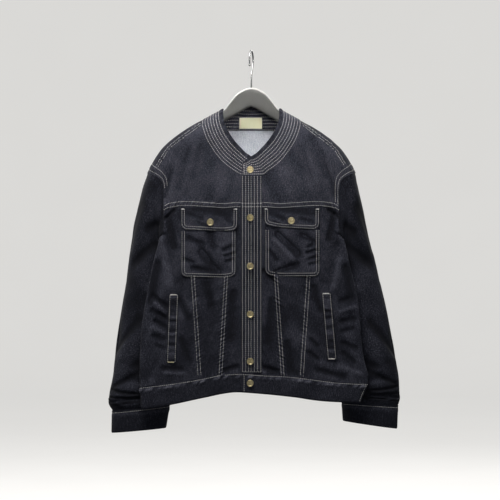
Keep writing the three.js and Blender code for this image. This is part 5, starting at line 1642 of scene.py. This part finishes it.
def combine(material, how, a, b, clamp=False):
    made = add(material, "Math", operation=how, use_clamp=clamp)
    for slot, value in zip(made.inputs, (a, b)):
        if isinstance(value, (int, float)):
            slot.default_value = value
        else:
            link(material, value, slot)
    return made.outputs[0]


def plus(material, a, b, clamp=False):
    return combine(material, "ADD", a, b, clamp)


def times(material, a, b, clamp=False):
    return combine(material, "MULTIPLY", a, b, clamp)


def about(material, value, middle, by, clamp=False):
    """How far a value lies from its middle, times a factor."""
    return times(material, combine(material, "SUBTRACT", value, middle), by, clamp)


def noise(material, at, scale, detail=2.0, rough=0.5):
    made = add(material, "TexNoise", {"Scale": scale, "Detail": detail, "Roughness": rough})
    link(material, at, made.inputs["Vector"])
    return made.outputs["Fac"]


def stretched(material, at, scale):
    made = add(material, "Mapping", {"Scale": scale})
    link(material, at, made.inputs["Vector"])
    return made.outputs["Vector"]


def ramp(material, value, stops):
    made = add(material, "ValToRGB")
    while len(made.color_ramp.elements) < len(stops):
        made.color_ramp.elements.new(0.5)
    for element, (position, colour) in zip(made.color_ramp.elements, stops):
        element.position, element.color = position, (*colour, 1)
    link(material, value, made.inputs["Fac"])
    return made.outputs["Color"]


def finish(material, colour, rough, height, distance, strength=1.0, **constants):
    """Joins colour, roughness and bump to the shader and sets its plain values."""
    shader = material.node_tree.nodes["Principled BSDF"]
    link(material, colour, shader.inputs["Base Color"])
    link(material, rough, shader.inputs["Roughness"])
    bump = add(material, "Bump", {"Strength": strength, "Distance": distance})
    link(material, height, bump.inputs["Height"])
    link(material, bump.outputs["Normal"], shader.inputs["Normal"])
    for key, value in constants.items():
        shader.inputs[key.replace("_", " ")].default_value = value


# %% Denim
TWILL_WAVES, SLUBS, SPECKS, CLOUDS = 349, (900, 80, 1), 420, 16


def weave(material):
    """Cloth position, twill ribs, slubs and specks of undyed weft."""
    at = add(material, "UVMap", uv_map="cloth").outputs["UV"]
    ribs = add(material, "TexWave", {"Scale": TWILL_WAVES, "Distortion": 1.2, "Detail": 1.0,
                                     "Detail Scale": 1.5}, wave_type="BANDS",
               bands_direction="DIAGONAL")
    link(material, at, ribs.inputs["Vector"])
    slubs = noise(material, stretched(material, at, SLUBS), 1.0, 3.0, 0.6)
    specks = noise(material, at, SPECKS, 4.0, 0.7)
    clouds = noise(material, at, CLOUDS, 4.0, 0.55)
    return ribs.outputs["Fac"], slubs, specks, clouds


def denim(material, stops, wear_and_light_share, rough_from):
    """Dye that is thin on the ribs and specks, and thinner where the cloth is rubbed; the corner value
    also brings painted shade into the creases and painted light onto the upper fronts.
    """
    ribs, slubs, specks, clouds = weave(material)
    wear_and_painted_light = add(material, "Attribute", attribute_name="wear_and_painted_light", attribute_type="GEOMETRY").outputs["Fac"]
    grain = plus(material, about(material, slubs, 0.5, 0.75), about(material, specks, 0.5, 1.1))
    flecks = about(material, specks, 0.58, 4.5, clamp=True)
    rub_and_painted_light = times(material, wear_and_painted_light, wear_and_light_share)
    tone = plus(material, 0.20, times(material, ribs, 0.10))
    tone = plus(material, tone, times(material, flecks, 0.40))
    tone = plus(material, tone, about(material, clouds, 0.5, 0.30))
    tone = plus(material, tone, times(material, rub_and_painted_light,
                                      plus(material, 0.55, times(material, specks, 0.9))))
    tone = plus(material, tone, grain, clamp=True)
    height = plus(material, times(material, ribs, 0.5), plus(material, slubs, specks))
    rough = plus(material, rough_from, times(material, specks, 0.12))
    finish(material, ramp(material, tone, stops), rough, height, 0.00035, 0.55,
           Sheen_Weight=0.05, Sheen_Roughness=0.45, Specular_IOR_Level=0.16)


denim(DENIM, [(0.0, (0.0035, 0.0038, 0.0065)), (0.26, (0.0105, 0.0115, 0.0185)),
              (0.60, (0.060, 0.061, 0.080)), (1.0, (0.20, 0.20, 0.225))], 0.9, 0.80)
denim(DENIM_REVERSE, [(0.0, (0.24, 0.26, 0.30)), (0.4, (0.48, 0.50, 0.54)),
                      (1.0, (0.72, 0.73, 0.74))], 0.2, 0.82)


# %% Thread, label, brass, plastic and steel
def plain_cloth(material, dark, light, grain_scale):
    at = add(material, "TexCoord").outputs["Object"]
    grain = noise(material, at, grain_scale, 2.0)
    colour = ramp(material, grain, [(0.3, dark), (0.7, light)])
    rough = plus(material, 0.62, times(material, grain, 0.2))
    finish(material, colour, rough, grain, 0.0001, 0.5, Sheen_Weight=0.1)


plain_cloth(THREAD, (0.50, 0.49, 0.47), (0.80, 0.78, 0.74), 260)
plain_cloth(BARTACK_THREADS["cream"], (0.52, 0.46, 0.26), (0.68, 0.62, 0.38), 900)
plain_cloth(BARTACK_THREADS["white"], (0.55, 0.50, 0.48), (0.72, 0.68, 0.66), 900)
plain_cloth(LABEL_CLOTH, (0.88, 0.85, 0.55), (0.95, 0.92, 0.68), 1500)

at = add(BRASS, "TexCoord").outputs["Object"]
patina = plus(BRASS, times(BRASS, noise(BRASS, at, 260, 5.0, 0.65), 0.8),
              times(BRASS, noise(BRASS, at, 7, 2.0), 0.5))
colour = ramp(BRASS, patina, [(0.40, (0.13, 0.11, 0.06)), (0.60, (0.46, 0.38, 0.20)),
                              (0.85, (0.80, 0.71, 0.46))])
rough = combine(BRASS, "SUBTRACT", 0.62, times(BRASS, patina, 0.35))
finish(BRASS, colour, rough, patina, 0.0001, 0.4, Metallic=0.92)

at = add(PLASTIC, "TexCoord").outputs["Object"]
grain = noise(PLASTIC, at, 1100, 3.0)
# The pale end of the ramp below is a painted highlight along the moulding's upper front edge.
edge = add(PLASTIC, "Attribute", attribute_name="wear_and_painted_light", attribute_type="GEOMETRY").outputs["Fac"]
tone = plus(PLASTIC, times(PLASTIC, grain, 0.25), times(PLASTIC, edge, 0.7), clamp=True)
colour = ramp(PLASTIC, tone, [(0.0, (0.062, 0.062, 0.058)), (0.25, (0.088, 0.088, 0.084)),
                              (1.0, (0.66, 0.65, 0.62))])
rough = plus(PLASTIC, 0.46, times(PLASTIC, grain, 0.18))
finish(PLASTIC, colour, rough, grain, 0.00012, 0.5, Specular_IOR_Level=0.4)

at = add(STEEL, "TexCoord").outputs["Object"]
drawn = noise(STEEL, stretched(STEEL, at, (900, 900, 60)), 1.0, 3.0)
colour = ramp(STEEL, drawn, [(0.3, (0.34, 0.34, 0.33)), (0.7, (0.50, 0.50, 0.49))])
rough = plus(STEEL, 0.22, times(STEEL, drawn, 0.16))
finish(STEEL, colour, rough, drawn, 0.00005, 0.3, Metallic=1.0)
print(len(bpy.data.materials), "materials")

# %% [markdown]
# ## Stage, light and camera
# The light of the picture is a broad lamp above and in front, so the shoulders are lit and the
# lower half falls off to near black. The stage is a wide, shallow bowl whose floor runs up into
# a wall all round, so the outline stays easy to read from every side. A flat wall behind the
# jacket would be enough for one view. The bowl glows a little of its own, so no shadow falls on
# it, and it gives the cloth no light.

# %% Stage
FLOOR_Z, FLOOR_RADIUS, BEND, WALL_TOP = -1.22, 7.6, 1.5, 5.0

bm = bmesh.new()
curve = [(FLOOR_RADIUS + BEND * math.sin(a), BEND * (1 - math.cos(a)))
         for a in np.linspace(0, math.pi / 2, 13)]
outline = [(0, 0), *curve, (FLOOR_RADIUS + BEND, WALL_TOP)]
turned_piece(bm, [(r / MM, (h + FLOOR_Z) / MM) for r, h in outline])
mesh = mesh_of(bm, "stage")
mesh.shade_smooth()
PAPER = new_material("stage_paper")
stage = keep_object("stage", mesh, [PAPER])
at = add(PAPER, "TexCoord").outputs["Object"]
grain = noise(PAPER, at, 3.0, 3.0)
colour = ramp(PAPER, grain, [(0.3, (0.42, 0.41, 0.40)), (0.7, (0.45, 0.44, 0.43))])
rough = plus(PAPER, 0.9, times(PAPER, grain, 0.05))
finish(PAPER, colour, rough, grain, 0.0005, 0.2,
       Emission_Color=(0.96, 0.95, 0.92, 1), Emission_Strength=0.62)
stage.visible_diffuse = stage.visible_glossy = stage.visible_shadow = False


# %% Lights and camera
def softbox(name, power, size, spot, aim, colour=(1, 1, 1), spread=180):
    data = bpy.data.lights.new(name, "AREA")
    data.spread = math.radians(spread)
    data.shape, data.energy, data.color = "RECTANGLE", power, colour
    data.size, data.size_y = size
    lamp = bpy.data.objects.new(name, data)
    lamp.location = spot
    lamp.rotation_euler = (Vector(aim) - Vector(spot)).to_track_quat("-Z", "Y").to_euler()
    lamp.visible_camera = False
    bpy.context.scene.collection.objects.link(lamp)


softbox("key", 46, (0.9, 0.45), (-0.35, -0.95, 1.30), (0, 0, -0.35), (1.0, 0.985, 0.96))
softbox("fill", 7, (2.2, 2.2), (1.5, -2.6, 0.1), (0, 0, -0.5), (0.94, 0.97, 1.0))
softbox("rim", 14, (1.2, 1.6), (-2.0, 0.9, 0.4), (0, 0, -0.5))
softbox("top", 70, (3.0, 1.6), (0.0, 0.3, 2.4), (0, 1.6, -0.6))
softbox("neck", 0.17, (0.25, 0.2), (0.0, -1.7, 0.28), (0, 0, -0.19), (1.0, 0.985, 0.96), spread=16)
softbox("behind", 20, (1.6, 1.2), (1.4, 2.6, 0.9), (0, 0, -0.5))

SKY_COLOUR, SKY_STRENGTH = (0.80, 0.82, 0.85, 1), 0.2
world = bpy.data.worlds.new("soft_room")
world.use_nodes = True
sky = world.node_tree.nodes["Background"].inputs
sky["Color"].default_value, sky["Strength"].default_value = SKY_COLOUR, SKY_STRENGTH
bpy.context.scene.world = world

CAMERA_SPOT, LENS, SENSOR, SEES_TO = (-0.0031, -6.69, -0.4774), 200, 36, 30
data = bpy.data.cameras.new("camera")
data.lens, data.sensor_width, data.clip_end = LENS, SENSOR, SEES_TO
camera = bpy.data.objects.new("camera", data)
camera.location, camera.rotation_euler = CAMERA_SPOT, (math.pi / 2, 0, 0)
bpy.context.scene.collection.objects.link(camera)
bpy.context.scene.camera = camera
bpy.context.scene.view_settings.view_transform = "Standard"
bpy.context.scene.view_settings.look = "None"
print("camera at", tuple(camera.location))
